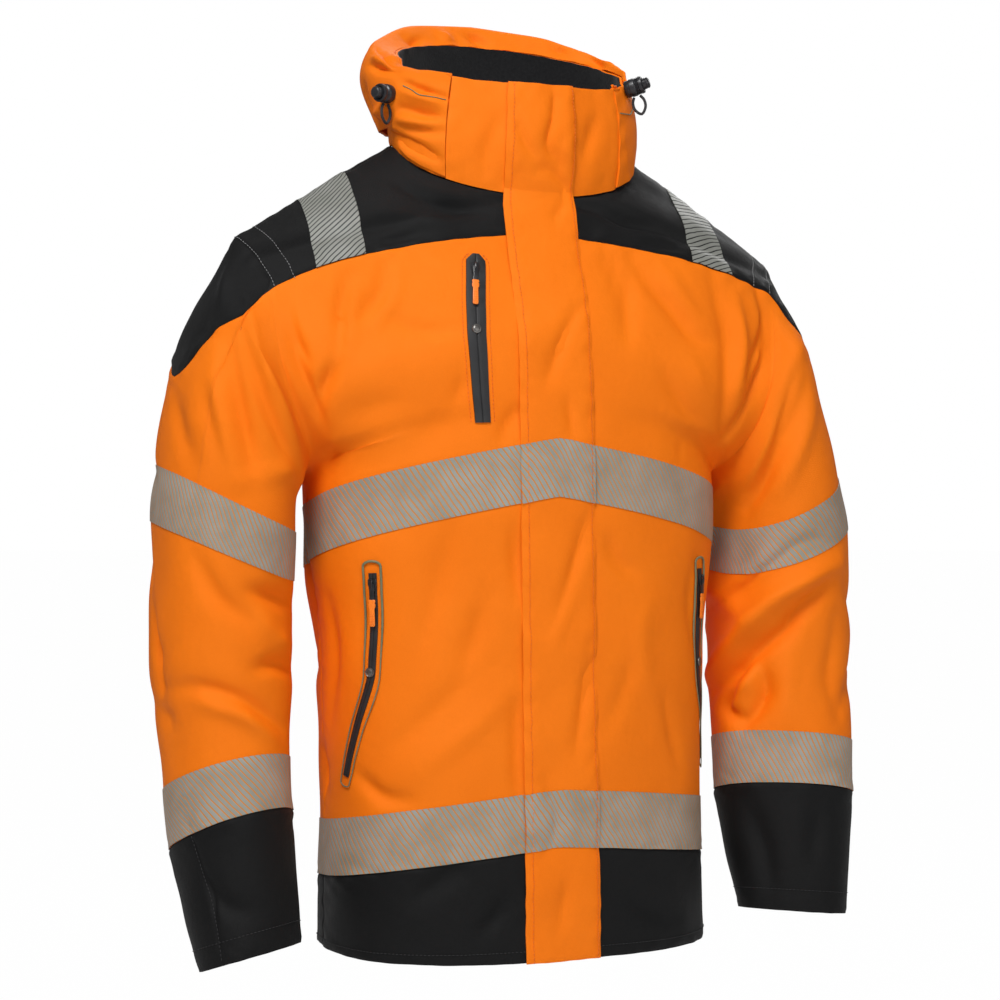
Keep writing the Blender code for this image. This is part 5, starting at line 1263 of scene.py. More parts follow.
class Finish:
    """A Principled material whose colour, roughness and bump come from nodes."""

    def __init__(self, name, roughness, metallic=0.0, sheen=0.0, specular=0.5):
        self.material = bpy.data.materials.new(name)
        self.material.use_nodes = True
        self.nodes, self.links = self.material.node_tree.nodes, self.material.node_tree.links
        self.shader = self.nodes["Principled BSDF"]
        values = {"Roughness": roughness, "Metallic": metallic, "Specular IOR Level": specular,
                  "Sheen Weight": sheen, "Sheen Roughness": SHEEN_ROUGHNESS}
        for socket, value in values.items():
            self.shader.inputs[socket].default_value = value

    def put(self, value, socket):
        if isinstance(value, bpy.types.NodeSocket):
            self.links.new(value, socket)
        elif hasattr(value, "__len__") and len(value) == 3 and socket.type == "RGBA":
            socket.default_value = (*value, 1.0)
        else:
            socket.default_value = value

    def math(self, operation, *values):
        node = self.nodes.new("ShaderNodeMath")
        node.operation = operation
        for value, socket in zip(values, node.inputs):
            self.put(value, socket)
        return node.outputs[0]

    def mix(self, share, first, second):
        node = self.nodes.new("ShaderNodeMix")
        node.data_type = "RGBA"
        self.put(share, node.inputs["Factor"])
        self.put(first, node.inputs[6])
        self.put(second, node.inputs[7])
        return node.outputs[2]

    def noise(self, cells, detail):
        """Noise in the frame's own metres, with so many cells in a metre."""
        place = self.nodes.new("ShaderNodeTexCoord").outputs["Object"]
        node = self.nodes.new("ShaderNodeTexNoise")
        self.links.new(place, node.inputs["Vector"])
        node.inputs["Scale"].default_value = cells
        node.inputs["Detail"].default_value = detail
        return node.outputs[0]

    def patches(self, look):
        """Cloudy patches of two values, from a row of Patches."""
        return self.spread(self.noise(look.cells, look.detail), *look[2:])

    def relief(self, look, under=None):
        """Bumps from a row of Relief, over those under them."""
        return self.bump(self.noise(look.cells, look.detail), look.height, look.strength, under)

    def spread(self, value, low, high, to_low=0.0, to_high=1.0):
        """Maps low..high to another range, clamped."""
        node = self.nodes.new("ShaderNodeMapRange")
        self.put(value, node.inputs[0])
        for socket, number in zip(node.inputs[1:5], (low, high, to_low, to_high)):
            socket.default_value = number
        return node.outputs[0]

    def flat(self):
        """The piece's own lengths in metres."""
        layer = self.nodes.new("ShaderNodeUVMap")
        layer.uv_map = FLAT_MAP
        parts = self.nodes.new("ShaderNodeSeparateXYZ")
        self.links.new(layer.outputs[0], parts.inputs[0])
        return parts.outputs[0], parts.outputs[1]

    def weave(self, pitch):
        """Height of a plain weave: threads that cross over and under each other."""
        across, along = self.flat()
        turns = 2 * pi / pitch
        return self.math("MULTIPLY", self.math("SINE", self.math("MULTIPLY", across, turns)),
                         self.math("SINE", self.math("MULTIPLY", along, turns)))

    def bump(self, height, distance, strength, under=None):
        node = self.nodes.new("ShaderNodeBump")
        node.inputs["Strength"].default_value = strength
        node.inputs["Distance"].default_value = distance
        self.put(height, node.inputs["Height"])
        if under is not None:
            self.links.new(under, node.inputs["Normal"])
        return node.outputs[0]

    def finish(self, colour, normal=None, roughness=None):
        self.put(colour, self.shader.inputs["Base Color"])
        if normal is not None:
            self.links.new(normal, self.shader.inputs["Normal"])
        if roughness is not None:
            self.links.new(roughness, self.shader.inputs["Roughness"])
        return self.material


def cloth_finish(name, colour, worn, roughness, sheen):
    """Plain-woven shell cloth: fine threads, soft crumples and a little wear."""
    f = Finish(name, roughness, sheen=sheen, specular=CLOTH_SPECULAR)
    broad, heather = f.patches(CLOTH_BROAD), f.patches(CLOTH_HEATHER)
    shade = f.math("MINIMUM", f.math("ADD", f.math("MULTIPLY", broad, BROAD_SHARE), heather), 1.0)
    fine = f.relief(CLOTH_FINE, f.relief(CLOTH_CRUMPLE))
    threads = f.bump(f.weave(WEAVE_PITCH), THREAD_HEIGHT, THREAD_STRENGTH, fine)
    rough = f.spread(broad, 0, 1, roughness - CLOTH_ROUGHER, roughness + CLOTH_ROUGHER)
    return f.finish(f.mix(shade, colour, worn), threads, rough)


def tape_finish(name, behind, shade=1.0):
    """Segmented reflective tape: slanting grey film, with painted sheen in lighter cloudy patches, and the
    cloth showing between its segments.
    """
    sheen_grey, dull = (tuple(shade * part for part in grey) for grey in (TAPE_GREY_AND_SHEEN, TAPE_DULL))
    f = Finish(name, TAPE_MEAN_ROUGHNESS, specular=TAPE_SPECULAR)
    across, along = f.flat()
    run = f.math("ADD", f.math("MULTIPLY_ADD", along, SEGMENT_SLANT, across), f.patches(TAPE_WANDER))
    phase = f.math("FRACT", f.math("DIVIDE", run, SEGMENT_PITCH))
    film = f.math("MULTIPLY", f.spread(phase, SEGMENT_GAP - SEGMENT_EDGE, SEGMENT_GAP + SEGMENT_EDGE),
                  f.spread(phase, 1.0 - SEGMENT_EDGE, 1.0, 1.0, 0.0))
    # painted sheen: cloudy patches of the lighter grey stand for the film's glossy highlights
    grey = f.mix(f.patches(TAPE_SHEEN_PATCHES), sheen_grey, dull)
    edge = f.bump(film, FILM_HEIGHT, FILM_STRENGTH, f.relief(TAPE_CRUMPLE))
    return f.finish(f.mix(film, behind, grey), edge, f.spread(film, 0, 1, *TAPE_ROUGHNESS))


def plain_finish(row):
    """Moulded or turned material: a fine grain and a little wear."""
    f = Finish(row.name, row.roughness, metallic=row.metallic)
    shade = f.patches(PLAIN_SHADE)
    rough = f.spread(shade, 0, 1, row.roughness - PLAIN_SMOOTHER, row.roughness + PLAIN_ROUGHER)
    grain = Relief(row.grain, PLAIN_DETAIL, row.depth, PLAIN_STRENGTH)
    return f.finish(f.mix(shade, row.colour, row.worn), f.relief(grain), rough)


def fleece_finish(name, colour, worn):
    """Black knitted lining with a short nap."""
    f = Finish(name, FLEECE_ROUGHNESS, sheen=FLEECE_SHEEN, specular=FLEECE_SPECULAR)
    return f.finish(f.mix(f.patches(FLEECE_SHADE), colour, worn), f.relief(FLEECE_NAP))


LINING_BLACK = (0.008, 0.008, 0.009)
LINING_WORN = (0.014, 0.014, 0.015)
# Moulded, spun and turned materials: colour, worn colour, roughness, grains in a metre and their depth.
Plain = namedtuple("Plain", "name colour worn roughness grain depth metallic", defaults=[0.0])
PLAINS = [
    Plain("trim", PIPING_GREY, (0.14, 0.15, 0.08), 0.50, 1500, 0.0003),
    Plain("zip_tape", (0.010, 0.010, 0.011), (0.018, 0.018, 0.020), 0.55, 1400, 0.0003),
    Plain("thread_grey", THREAD_GREY, (0.22, 0.22, 0.22), 0.70, 3000, 0.0001),
    Plain("thread_orange", (0.90, 0.180, 0.010), (0.80, 0.150, 0.008), 0.70, 3000, 0.0001),
    Plain("thread_black", (0.020, 0.020, 0.022), (0.03, 0.03, 0.03), 0.70, 3000, 0.0001),
    Plain("orange_rubber", (1.0, 0.235, 0.012), (0.90, 0.200, 0.010), 0.48, 900, 0.0002),
    Plain("black_plastic", (0.012, 0.012, 0.014), (0.026, 0.026, 0.030), 0.34, 1100, 0.0002),
    Plain("snap_metal", METAL_GREY, (0.12, 0.11, 0.10), 0.36, 900, 0.0002, 0.8),
    Plain("cord", (0.016, 0.016, 0.018), (0.035, 0.035, 0.038), 0.80, 2600, 0.0006),
]
FINISH = {
    "orange_cloth": cloth_finish("orange_cloth", ORANGE, ORANGE_WORN, 0.66, 0.0),
    "black_cloth": cloth_finish("black_cloth", BLACK, BLACK_WORN, 0.62, 0.03),
    "lining": fleece_finish("lining", LINING_BLACK, LINING_WORN),
    "tape": tape_finish("tape", TAPE_BETWEEN),
    "tape_on_black": tape_finish("tape_on_black", BLACK, SHOULDER_SHADE),
    **{row.name: plain_finish(row) for row in PLAINS},
}


# ------------------------------------------------------------------ pressing creases into cloth
def through_frame(px, py):
    """The direction from the eye through a point of the frame."""
    half = FRAME_PX / 2
    return (AHEAD + RIGHT * ((px - half) / FOCAL_PX) + UP * ((half - py) / FOCAL_PX)).normalized()


def seen_place(tree, px, py):
    """The point of the cloth behind a point of the frame, or the nearest one if it just misses."""
    ray = through_frame(px, py)
    found = tree.ray_cast(EYE, ray)[0]
    return found or tree.find_nearest(EYE + ray * (AIM - EYE).length)[0]


def turned_place(tree, turn, z):
    """The point of the cloth at a turn from centre front and a height, or the nearest one."""
    away = Vector((sin(radians(turn)), -cos(radians(turn)), 0.0))
    found = tree.ray_cast(away * RAY_START + UP * z, -away)[0]
    return found or tree.find_nearest(away * RAY_MISS + UP * z)[0]


def crease_depth(points, line, half_width, depth, sharp):
    """How far one crease moves each point in: a trough along the line that fades at its ends."""
    line = [tuple(p) for p in line]
    line = np.array(smooth_line(line, LINE_STEPS) if len(line) > 2 else line)
    knots = lengths(line)
    nearest = np.full(len(points), np.inf)
    share = np.zeros(len(points))
    for k, (a, b) in enumerate(zip(line, line[1:])):
        along = np.clip((points - a) @ (b - a) / ((b - a) @ (b - a)), 0, 1)
        away = np.linalg.norm(points - (a + along[:, None] * (b - a)), axis=1)
        closer = away < nearest
        nearest[closer] = away[closer]
        share[closer] = ((knots[k] + along * (knots[k + 1] - knots[k])) / knots[-1])[closer]
    across = nearest / (CREASE_NARROW * half_width)
    sharp = min(1.0, sharp + CREASE_SHARPER)
    profile = (1 - sharp) * np.exp(-across**2) + sharp * np.exp(-TIGHTNESS * across)
    return CREASE_GAIN * depth * profile * np.sin(pi * (CREASE_START + CREASE_RUN * share))


def press_creases(cloth, creases, place):
    """How far all the creases of a table together move each point of the cloth in."""
    creases = [Crease(*row) for row in creases]
    trees = {on: cloth.tree(on) for on in {c.on for c in creases}}
    total = np.zeros(len(cloth.points))
    for crease in creases:
        line = [place(trees[crease.on], *spot) for spot in crease.points]
        inside = np.ones(len(cloth.points), bool) if crease.on is ANY else cloth.members(crease.on)
        near = inside.copy()
        reach = CREASE_REACH * crease.half_width / 1000
        low, high = np.min(line, axis=0) - reach, np.max(line, axis=0) + reach
        near[inside] = ((cloth.points[inside] > low) & (cloth.points[inside] < high)).all(axis=1)
        steepest = crease.half_width * CREASE_STEEPEST / CREASE_GAIN
        depth = min(max(crease.depth, -steepest), steepest)
        total[near] += crease_depth(cloth.points[near], line, crease.half_width / 1000,
                                    depth / 1000, crease.sharp)
    return evened(cloth, total)


def neighbours(cloth):
    """The two ends of every edge of the cloth, both ways round, and how many each point has."""
    a, b, c, d = cloth.faces.T
    ends = np.concatenate([[a, b], [b, c], [c, d], [d, a]], axis=1)
    ends = np.concatenate([ends, ends[::-1]], axis=1)
    return ends, np.maximum(np.bincount(ends[0], minlength=len(cloth.points)), 1)


def evened(cloth, depth):
    """Depths averaged a little with their neighbours, so that no fold is finer than the grid."""
    ends, count = neighbours(cloth)
    for _ in range(EVEN_ROUNDS):
        depth = depth + 0.5 * (np.bincount(ends[0], depth[ends[1]], len(depth)) / count - depth)
    return depth


def ripples(points, depth, pitches, seed):
    """Slack in the cloth: a fixed sum of shallow waves in all directions."""
    random = np.random.default_rng(seed)
    total = np.zeros(len(points))
    for _ in range(RIPPLE_WAVES):
        direction = random.normal(size=3)
        direction /= np.linalg.norm(direction)
        pitch = random.uniform(*pitches)
        total += np.sin(points @ direction * 2 * pi / pitch + random.uniform(0, 2 * pi))
    return depth * total / (RIPPLE_WAVES / 2)**0.5


def distances(points, spots):
    """Distance of every point from the nearest spot."""
    tree = KDTree(len(spots))
    for k, spot in enumerate(spots):
        tree.insert(spot, k)
    tree.balance()
    return np.array([tree.find(p)[2] for p in points])


def crease_cloth(cloth, tables, seed, calm=(), softened=None):
    """All of a cloth's relief, which fades round the calm spots where hardware sits.

    Returns the depths of its outer face and of its inner face, and of the welts along its seams.
    """
    total = sum(press_creases(cloth, table, place) for table, place in tables)
    joined, free = cloth.seams()
    to_seam = distances(cloth.points, joined) if joined else np.ones(len(cloth.points))
    to_edge = distances(cloth.points, free)
    total += ripples(cloth.points, RIPPLE_DEPTH, RIPPLE_PITCH, seed)
    beside = np.exp(-(np.minimum(to_seam, to_edge) / PUCKER_REACH)**2)
    total += ripples(cloth.points, PUCKER_DEPTH, PUCKER_PITCH, seed + 1) * beside
    if len(calm):
        total *= 1 - np.exp(-(distances(cloth.points, calm) / CALM_REACH)**2)
    cloth.move(total)
    groove = SEAM_DEPTH * np.exp(-(to_seam / SEAM_REACH)**2) + HEM_DEPTH * np.exp(-(to_edge / HEM_REACH)**2)
    if softened is not None:
        groove = groove * (1 - soften(cloth, softened))
    welt = WELT_HEIGHT * np.clip((WELT_WIDTH - to_seam) / WELT_STEP, 0, 1)
    thick = np.where(to_edge < WELT_WIDTH, 1.0, INNER_THICK)
    thick *= np.clip(SEAM_THICK + (1 - SEAM_THICK) * to_seam / SEAM_THICK_REACH, 0, 1)
    return -groove, -groove - CLOTH * thick, welt


def soften(cloth, line):
    """Rounds the cloth beside a line where two pieces meet in a fold; returns how much, 0 to 1."""
    away = distances(cloth.points, line)
    share = np.clip(SOFT_FULL - away / SOFT_REACH, 0, 1)
    ends, count = neighbours(cloth)
    for _ in range(SOFT_ROUNDS):
        middle = np.stack([np.bincount(ends[0], cloth.points[ends[1], k], len(cloth.points))
                           for k in range(3)], axis=1) / count[:, None]
        cloth.points += (middle - cloth.points) * (0.5 * share)[:, None]
    cloth.find_normals()
    return share


# ------------------------------------------------------------------ making pieces
def new_piece(name, points, faces, finishes, which, sharp, flat=None, turn_out=False):
    """A mesh object. which says the finish of every face, and sharp is the angle of a crisp edge."""
    mesh = bpy.data.meshes.new(name)
    mesh.from_pydata([tuple(p) for p in points], [], faces)
    for finish in finishes:
        mesh.materials.append(FINISH[finish])
    mesh.polygons.foreach_set("material_index", np.array(which, np.int32))
    if flat is not None:
        layer = mesh.uv_layers.new(name=FLAT_MAP)
        spots = np.concatenate([np.array(f) for f in flat])
        layer.data.foreach_set("uv", spots.astype(np.float32).ravel())
    if turn_out:
        shaper = bmesh.new()
        shaper.from_mesh(mesh)
        bmesh.ops.recalc_face_normals(shaper, faces=shaper.faces)
        shaper.to_mesh(mesh)
        shaper.free()
    mesh.shade_smooth()
    mesh.set_sharp_from_angle(angle=radians(sharp))
    return placed(name, mesh)


def own(piece, body, slot, *nodes):
    """Hangs a piece on the body it rides on and hides the nodes it stands for; slot is not used."""
    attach(piece, body)
    if nodes:
        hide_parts(*nodes)


def cloth_piece(node, cloth, picked, inner, outer, slot, finish=None, lining=None,
                flat_turned=False):
    """A cloth piece in place of its node. Only its lining may differ."""
    if flat_turned:
        cloth.straighten(picked)
    points, faces, flat, count = cloth.wall(picked, inner, outer)
    if flat_turned:
        flat = [[(along, -across) for across, along in spots] for spots in flat]
    which = [0] * count + [1] * count + [0] * (len(faces) - 2 * count)
    finish = finish or slot
    piece = new_piece(node + "_cloth", points, faces, (finish, lining or finish), which, CLOTH_SHARP, flat)
    own(piece, "jacket", slot, node)
    width, length, area = cloth.cut_size(picked)
    width, length = round(width, 3), round(length, 3)
    return piece


def add_panels(body, face, inner, welt):
    pieces = {}
    for panel in sorted(set(body.panel)):
        slot = "black_cloth" if panel.startswith(BLACK_PANELS) else "orange_cloth"
        outer = face + (welt if panel.startswith(WELTED) else 0)
        pieces[panel] = cloth_piece(panel, body, body.chosen(panels=(panel,)), inner, outer, slot,
                                    lining=INNER_BLACK)
    return pieces


def add_tapes(body, pieces):
    """Reflective tapes, moved out from the panels' points. On the fronts they end under the flap."""
    low, high = LAY_GAP, LAY_GAP + TAPE_FILM
    for tape in sorted(set(body.tape) - {""}):
        if tape.startswith(BACK_TAPES):
            continue
        on_black = tape.startswith("shoulder")
        picked = body.chosen(tape=tape, start=TAPE_START)
        cloth_piece(tape, body, picked, low, high, "tape",
                    "tape_on_black" if on_black else "tape", flat_turned=on_black)
    for name in BACK_TAPES:
        picked = np.concatenate([body.chosen(tape=name + hand) for hand in ("_left", "_right")])
        cloth_piece(name, body, picked, low, high, "tape")


def add_flap(flap, face):
    """The storm flap and its tapes. Its edges lie closer to the fronts than its middle."""
    edge = np.exp(-((FLAP_HALF_WIDTH - np.abs(flap.points[:, 0])) / FLAP_EDGE_REACH)**2)
    lower = FLAP_EDGE_DROP * edge
    piece = cloth_piece("storm_flap", flap, flap.chosen(panels=("flap",)), FLAP_LIFT - lower,
                        FLAP_LIFT + FLAP - lower + face, "orange_cloth")
    low = FLAP_LIFT + FLAP + LAY_GAP - lower
    for band in FLAP_TAPES:
        cloth_piece(band.name, flap, flap.chosen(tape=band.name), low, low + TAPE_FILM, "tape")


def add_collar_and_hood():
    """The collar's three pieces, its black lining, and the rolled hood."""
    turns = sorted({-180.0 + COLLAR_STEP_DEG * k for k in range(int(360 / COLLAR_STEP_DEG) + 1)}
                   | {-COLLAR_SEAM_DEG, COLLAR_SEAM_DEG})
    collar = collar_cloth(turns)
    face, within, _ = crease_cloth(collar, [(COLLAR_CREASES, seen_place)], COLLAR_SEED)
    seams = [tuple(collar_point(side * COLLAR_SEAM_DEG, k / COLLAR_ROWS)) for side in (1, -1)
             for k in range(COLLAR_ROWS + 1)]
    swell = (CLOTH + 2 * LAY_GAP) * np.exp(-(distances(collar.points, seams) / COLLAR_SWELL_REACH)**2)
    for panel in sorted(set(collar.panel)):
        outer = SOFT_EDGE * face + swell if panel.startswith("collar_front") else face
        cloth_piece(panel, collar, collar.chosen(panels=(panel,)), within, outer, "orange_cloth")
    inside = collar_cloth(turns, LINING_LOW)
    crease_cloth(inside, [(COLLAR_CREASES, seen_place)], COLLAR_SEED)
    low = -CLOTH - 3 * LAY_GAP
    cloth_piece("collar_lining", inside, np.arange(len(inside.faces)), low - LINING, low, "black_cloth",
                finish=INNER_BLACK)
    hood = hood_cloth([t for t in turns if COLLAR_SEAM_DEG <= t < 180]
                      + [t for t in turns if t <= -COLLAR_SEAM_DEG])
    face, within, _ = crease_cloth(hood, [(HOOD_CREASES, seen_place)], HOOD_SEED)
    cloth_piece("hood", hood, np.arange(len(hood.faces)), within, SOFT_EDGE * face, "orange_cloth")
    return hood


# ------------------------------------------------------------------ shapes for trim and hardware
def circle(steps):
    return [2 * pi * i / steps for i in range(steps)]


def loft(rings, capped=True):
    """Points and faces of a closed skin over rings that all have the same number of points."""
    around = len(rings[0])
    points = [p for ring in rings for p in ring]
    faces = [(around * i + j, around * i + (j + 1) % around,
              around * (i + 1) + (j + 1) % around, around * (i + 1) + j)
             for i in range(len(rings) - 1) for j in range(around)]
    if capped:
        last = around * (len(rings) - 1)
        faces += [tuple(reversed(range(around))), tuple(range(last, last + around))]
    return points, faces


def tube(line, radii, normals, sides=8, flatten=1.0, closed=False):
    """A tube along a line; flatten scales it along the given normals."""
    line = [Vector(p) for p in line]
    count = len(line)
    rings = []
    for k, place in enumerate(line):
        before = line[k - 1] if k or closed else place
        after = line[(k + 1) % count] if k < count - 1 or closed else place
        along = (after - before).normalized()
        up = Vector(normals[k])
        up = (up - up.dot(along) * along).normalized()
        side = along.cross(up)
        radius = radii[k] if hasattr(radii, "__len__") else radii
        rings.append([place + (side * cos(a) + up * sin(a) * flatten) * radius for a in circle(sides)])
    if closed:
        rings.append(rings[0])
    return loft(rings, not closed)


def turned(profile):
    """A solid spun round +Z from (radius, height) points; a radius of nothing closes it."""
    return loft([[Vector((r * cos(a), r * sin(a), h)) for a in circle(TURNED_SIDES)]
                 for r, h in ((max(r, TURNED_POINT), h) for r, h in profile)])


def bevelled(outline, levels):
    """A plate from an outline drawn in X and Y; levels are (height, inset) from the bottom up."""
    middle = sum((Vector(p) for p in outline), Vector((0, 0))) / len(outline)
    rings = []
    for height, inset in levels:
        ring = []
        for p in outline:
            away = Vector(p) - middle
            ring.append(Vector((*(middle + away * (1 - inset / away.length)), height)))
        rings.append(ring)
    return loft(rings)


def hard_piece(name, own_frame, shapes, finishes, body, slot, node=None, sharp=HARD_SHARP):
    """A piece in place of its node, from shapes in a frame of its own, each with its finish's number."""
    points, faces, which = [], [], []
    for (own_points, own_faces), finish in shapes:
        start = len(points)
        points += [own_frame @ Vector(p) for p in own_points]
        faces += [tuple(start + i for i in face) for face in own_faces]
        which += [finish] * len(own_faces)
    piece = new_piece(name, points, faces, finishes, which, sharp, turn_out=True)
    own(piece, body, slot, *([node] if node else []))


def axes_frame(place, x, y, z):
    matrix = Matrix((x, y, z)).transposed().to_4x4()
    matrix.translation = place
    return matrix


# ------------------------------------------------------------------ where the CAD holds the hardware
def node_points(name):
    return np.array([tuple(v.co) for v in frame["nodes"][name].data.vertices])


def pull_frame(joint, node):
    """X along the hinge, Y up the zip, Z out of the cloth, from the hinge axis of a pull."""
    place, x = Vector(joint["pos_m"]), -Vector(joint["axis"]).normalized()
    up = place - Vector(node_points(node).mean(axis=0))
    up = (up - up.dot(x) * x).normalized()
    return axes_frame(place, x, up, x.cross(up))


def snap_frame(node):
    """Z out of the cloth, with the origin on the snap's foot."""
    points = node_points(node)
    middle = Vector(points.mean(axis=0))
    out = Vector(np.linalg.eigh(np.cov((points - points.mean(axis=0)).T))[1][:, 0])
    if out.y > 0:
        out = -out
    foot = middle + out * min((Vector(p) - middle).dot(out) for p in points)
    x = out.cross(UP).normalized()
    return axes_frame(foot, x, out.cross(x), out)


def lock_frame(joint, node):
    """Z along the lock, away from the hood, with the origin on the barrel's foot."""
    z = -Vector(joint["axis"]).normalized()
    points = [Vector(p) for p in node_points(node)]
    along = [p.dot(z) for p in points]
    middle = sum((p - z * a for p, a in zip(points, along)), Vector()) / len(points)
    down = (-UP - (-UP).dot(z) * z).normalized()
    return axes_frame(middle + z * min(along), down.cross(z), -down, z)


# ------------------------------------------------------------------ zip sliders, pulls, snaps
def add_slider(prefix, seat):
    half, top = SLIDER_WIDTH / 2, SLIDER_HEIGHT / 2
    left = [(-x, y) for x, y in SLIDER_OUTLINE[-2:0:-1]]
    outline = [(half * x, top * y) for x, y in [(-SLIDER_OUTLINE[0][0], -1), *SLIDER_OUTLINE, *left]]
    reach, low, high = SLIDER_HEIGHT * BRIDGE_REACH, BRIDGE_FOOT, SLIDER_DEPTH - BRIDGE_RADIUS / 2
    arch = [(0.0, reach * cos(a), low + (high - low) * sin(a)**BRIDGE_ROUND)
            for a in (pi * i / BRIDGE_STEPS for i in range(BRIDGE_STEPS + 1))]
    shapes = [(bevelled(outline, SLIDER_LEVELS), 0), (tube(arch, BRIDGE_RADIUS, [(1, 0, 0)] * len(arch)), 0)]
    hard_piece(prefix + "_slider_body", seat, shapes, ["black_plastic"], "jacket", "black_plastic",
               prefix + "_slider")


def flat_rings(stations):
    """Rounded oblongs down a pull, from its table."""
    return [[Vector((half * signed_power(cos(a), PULL_SQUARE), -down,
                     thick * signed_power(sin(a), PULL_SQUARE))) for a in circle(PULL_SIDES)]
            for down, half, thick in stations]


def add_pull(prefix, body_name, hinge):
    shapes = [(loft(flat_rings(PULL_LINK)), 1), (loft(flat_rings(PULL_TAB)), 0)]
    for down in PULL_RIBS:
        rib = [(end * RIB_HALF_LENGTH, -down, RIB_OUT) for end in (-1, 1)]
        shapes.append((tube(rib, RIB_RADIUS, [RIB_SIDE] * 2, sides=6), 0))
    hard_piece(prefix + "_pull_tab", hinge, shapes, ["orange_rubber", "black_plastic"], body_name,
               "orange_rubber", prefix + "_pull")


def add_snap(node):
    profile = [(SNAP_RADIUS * r, SNAP_HEIGHT * h) for r, h in SNAP_PROFILE]
    hard_piece(node + "_cap", snap_frame(node), [(turned(profile), 0)], ["snap_metal"], "jacket",
               "black_plastic", node)


# ------------------------------------------------------------------ cord locks and cords
def add_cord(name, points, radius, finish, slot, lay, *nodes):
    """A cord along the points; lay is not used."""
    curve = bpy.data.curves.new(name, "CURVE")
    curve.dimensions = "3D"
    curve.bevel_depth = radius
    curve.bevel_resolution = 4
    curve.use_fill_caps = True
    curve.materials.append(FINISH[finish])
    spline = curve.splines.new("POLY")
    spline.points.add(len(points) - 1)
    for target, p in zip(spline.points, points):
        target.co = (*p, 1.0)
    piece = placed(name, curve)
    own(piece, "jacket", slot, *nodes)
    length = sum((b - a).length for a, b in zip(points, points[1:]))
    tuple(points[0])


def add_loop(hand, lock):
    """The cord under a lock, from one place on its barrel back to another."""
    spots = [(0.0, LOOP_HALF_WIDTH * across, LOCK_RADIUS + LOOP_START + LOOP_DROP * share)
             for across, share in LOOP]
    points = [lock @ Vector((0, -p[2], LOCK_LENGTH * LOOP_HEIGHT + p[1]))
              for p in smooth_line(spots, LINE_STEPS)]
    add_cord("cord_loop_line" + hand, points, CORD_RADIUS, "cord", "black_cloth", "hanging",
             "cord_loop" + hand)


def add_lock(hand, lock):
    floor, bevel, r, h = LOCK_LENGTH - LOCK_BORE_DEPTH, LOCK_BEVEL, LOCK_RADIUS, LOCK_LENGTH
    wall = [(0, floor), (LOCK_BORE, floor), (LOCK_BORE, h - BORE_LIP), (LOCK_BORE + BORE_LIP, h),
            (r - bevel * BEVEL_END, h), (r - bevel * BEVEL_MIDDLE, h - bevel * BEVEL_MIDDLE),
            (r - NECK_IN, h - bevel * BEVEL_END)]
    for share in GROOVES:
        wall += [(r - NECK_IN, h * share + GROOVE_HALF), (r - GROOVE_IN, h * share),
                 (r - NECK_IN, h * share - GROOVE_HALF)]
    wall += [(r, h * BELT[0]), (r, h * BELT[1]), (r - FOOT_IN, h * BELT[2]), (r - FOOT_IN, bevel),
             (r - bevel, 0), (0, 0)]
    hard_piece("cord_lock_barrel" + hand, lock, [(turned(wall), 0)], ["black_plastic"], "jacket",
               "black_plastic", "cord_lock" + hand)
    foot = floor + PLUNGER_TRAVEL + PLUNGER_REST
    top = foot + PLUNGER_LENGTH
    button = [(PLUNGER_RADIUS - inset, top - down) for inset, down in BUTTON]
    pin = [(0, foot), (PLUNGER_RADIUS, foot), *button, (0, top)]
    hard_piece("cord_lock_button" + hand, lock, [(turned(pin), 0)], ["black_plastic"], "plunger" + hand,
               "black_plastic", "cord_lock_plunger" + hand)


# ------------------------------------------------------------------ zips, piping and stitching on cloth
class Panel:
    """Finds points on the pressed cloth, for what lies on it."""

    def __init__(self, cloth, group=BODY):
        self.tree = cloth.tree(group)

    def seat(self, place, normal, out=0.0):
        """The point of the cloth under a place near it, moved out along the normal."""
        found, facet = self.tree.ray_cast(place + normal * SEAT_START, -normal, SEAT_REACH)[:2]
        if found is None:
            return place + normal * out, normal
        return found + normal * out, facet

    def nearest(self, place, out=0.0):
        found, facet = self.tree.find_nearest(Vector(place))[:2]
        return found + facet * out, facet

    def at(self, turn, z, side=1):
        """The point at a turn from centre front and a height, and the even direction out of it."""
        away = Vector((sin(radians(turn)) * side, -cos(radians(turn)), 0.0))
        place, facet = self.tree.ray_cast(away * RAY_START + UP * z, -away)[:2]
        across = facet.cross(UP).normalized()
        up = across.cross(facet)
        around = [self.seat(place + across * a + up * b, facet)[1]
                  for a in (-FEEL, 0, FEEL) for b in (-FEEL, 0, FEEL)]
        return place, sum(around, Vector()).normalized()


def path_stations(panel, stops, side):
    """Stations along a zip's path: place, direction out, direction along and half width."""
    line = np.array([(radians(s.turn) * BODY_RADIUS, s.z, s.half_width) for s in stops])
    knots = lengths(line[:, :2])
    count = int(ceil(knots[-1] / ZIP_STEP))
    found = smooth_columns(knots, line, [knots[-1] * i / count for i in range(count + 1)])
    spots = [(*panel.at(degrees(t / BODY_RADIUS), z, side), half) for t, z, half in found]
    stations = []
    for k, (place, out, half) in enumerate(spots):
        along = spots[min(k + 1, count)][0] - spots[max(k - 1, 0)][0]
        stations.append((place, out, (along - along.dot(out) * out).normalized(), half))
    return stations


def add_zip(node, panel, stops, side):
    """A zip with two lips, as a strip that follows the cloth."""
    stations = path_stations(panel, stops, side)
    rings = []
    for place, out, along, half in stations:
        across = along.cross(out)
        section = [(a, TRIM_GAP + ZIP_THICK * share) for a, share in ZIP_SECTION]
        section += [(a, TRIM_GAP * ZIP_UNDER) for a in (1.0, 0.0, -1.0)]
        rings.append([panel.seat(place + across * half * a, out, rise)[0] for a, rise in section])
    hard_piece(node + "_strip", ORIGIN, [(loft(rings), 0)], ["zip_tape"], "jacket", "black_cloth", node,
               ZIP_SHARP)
    return stations


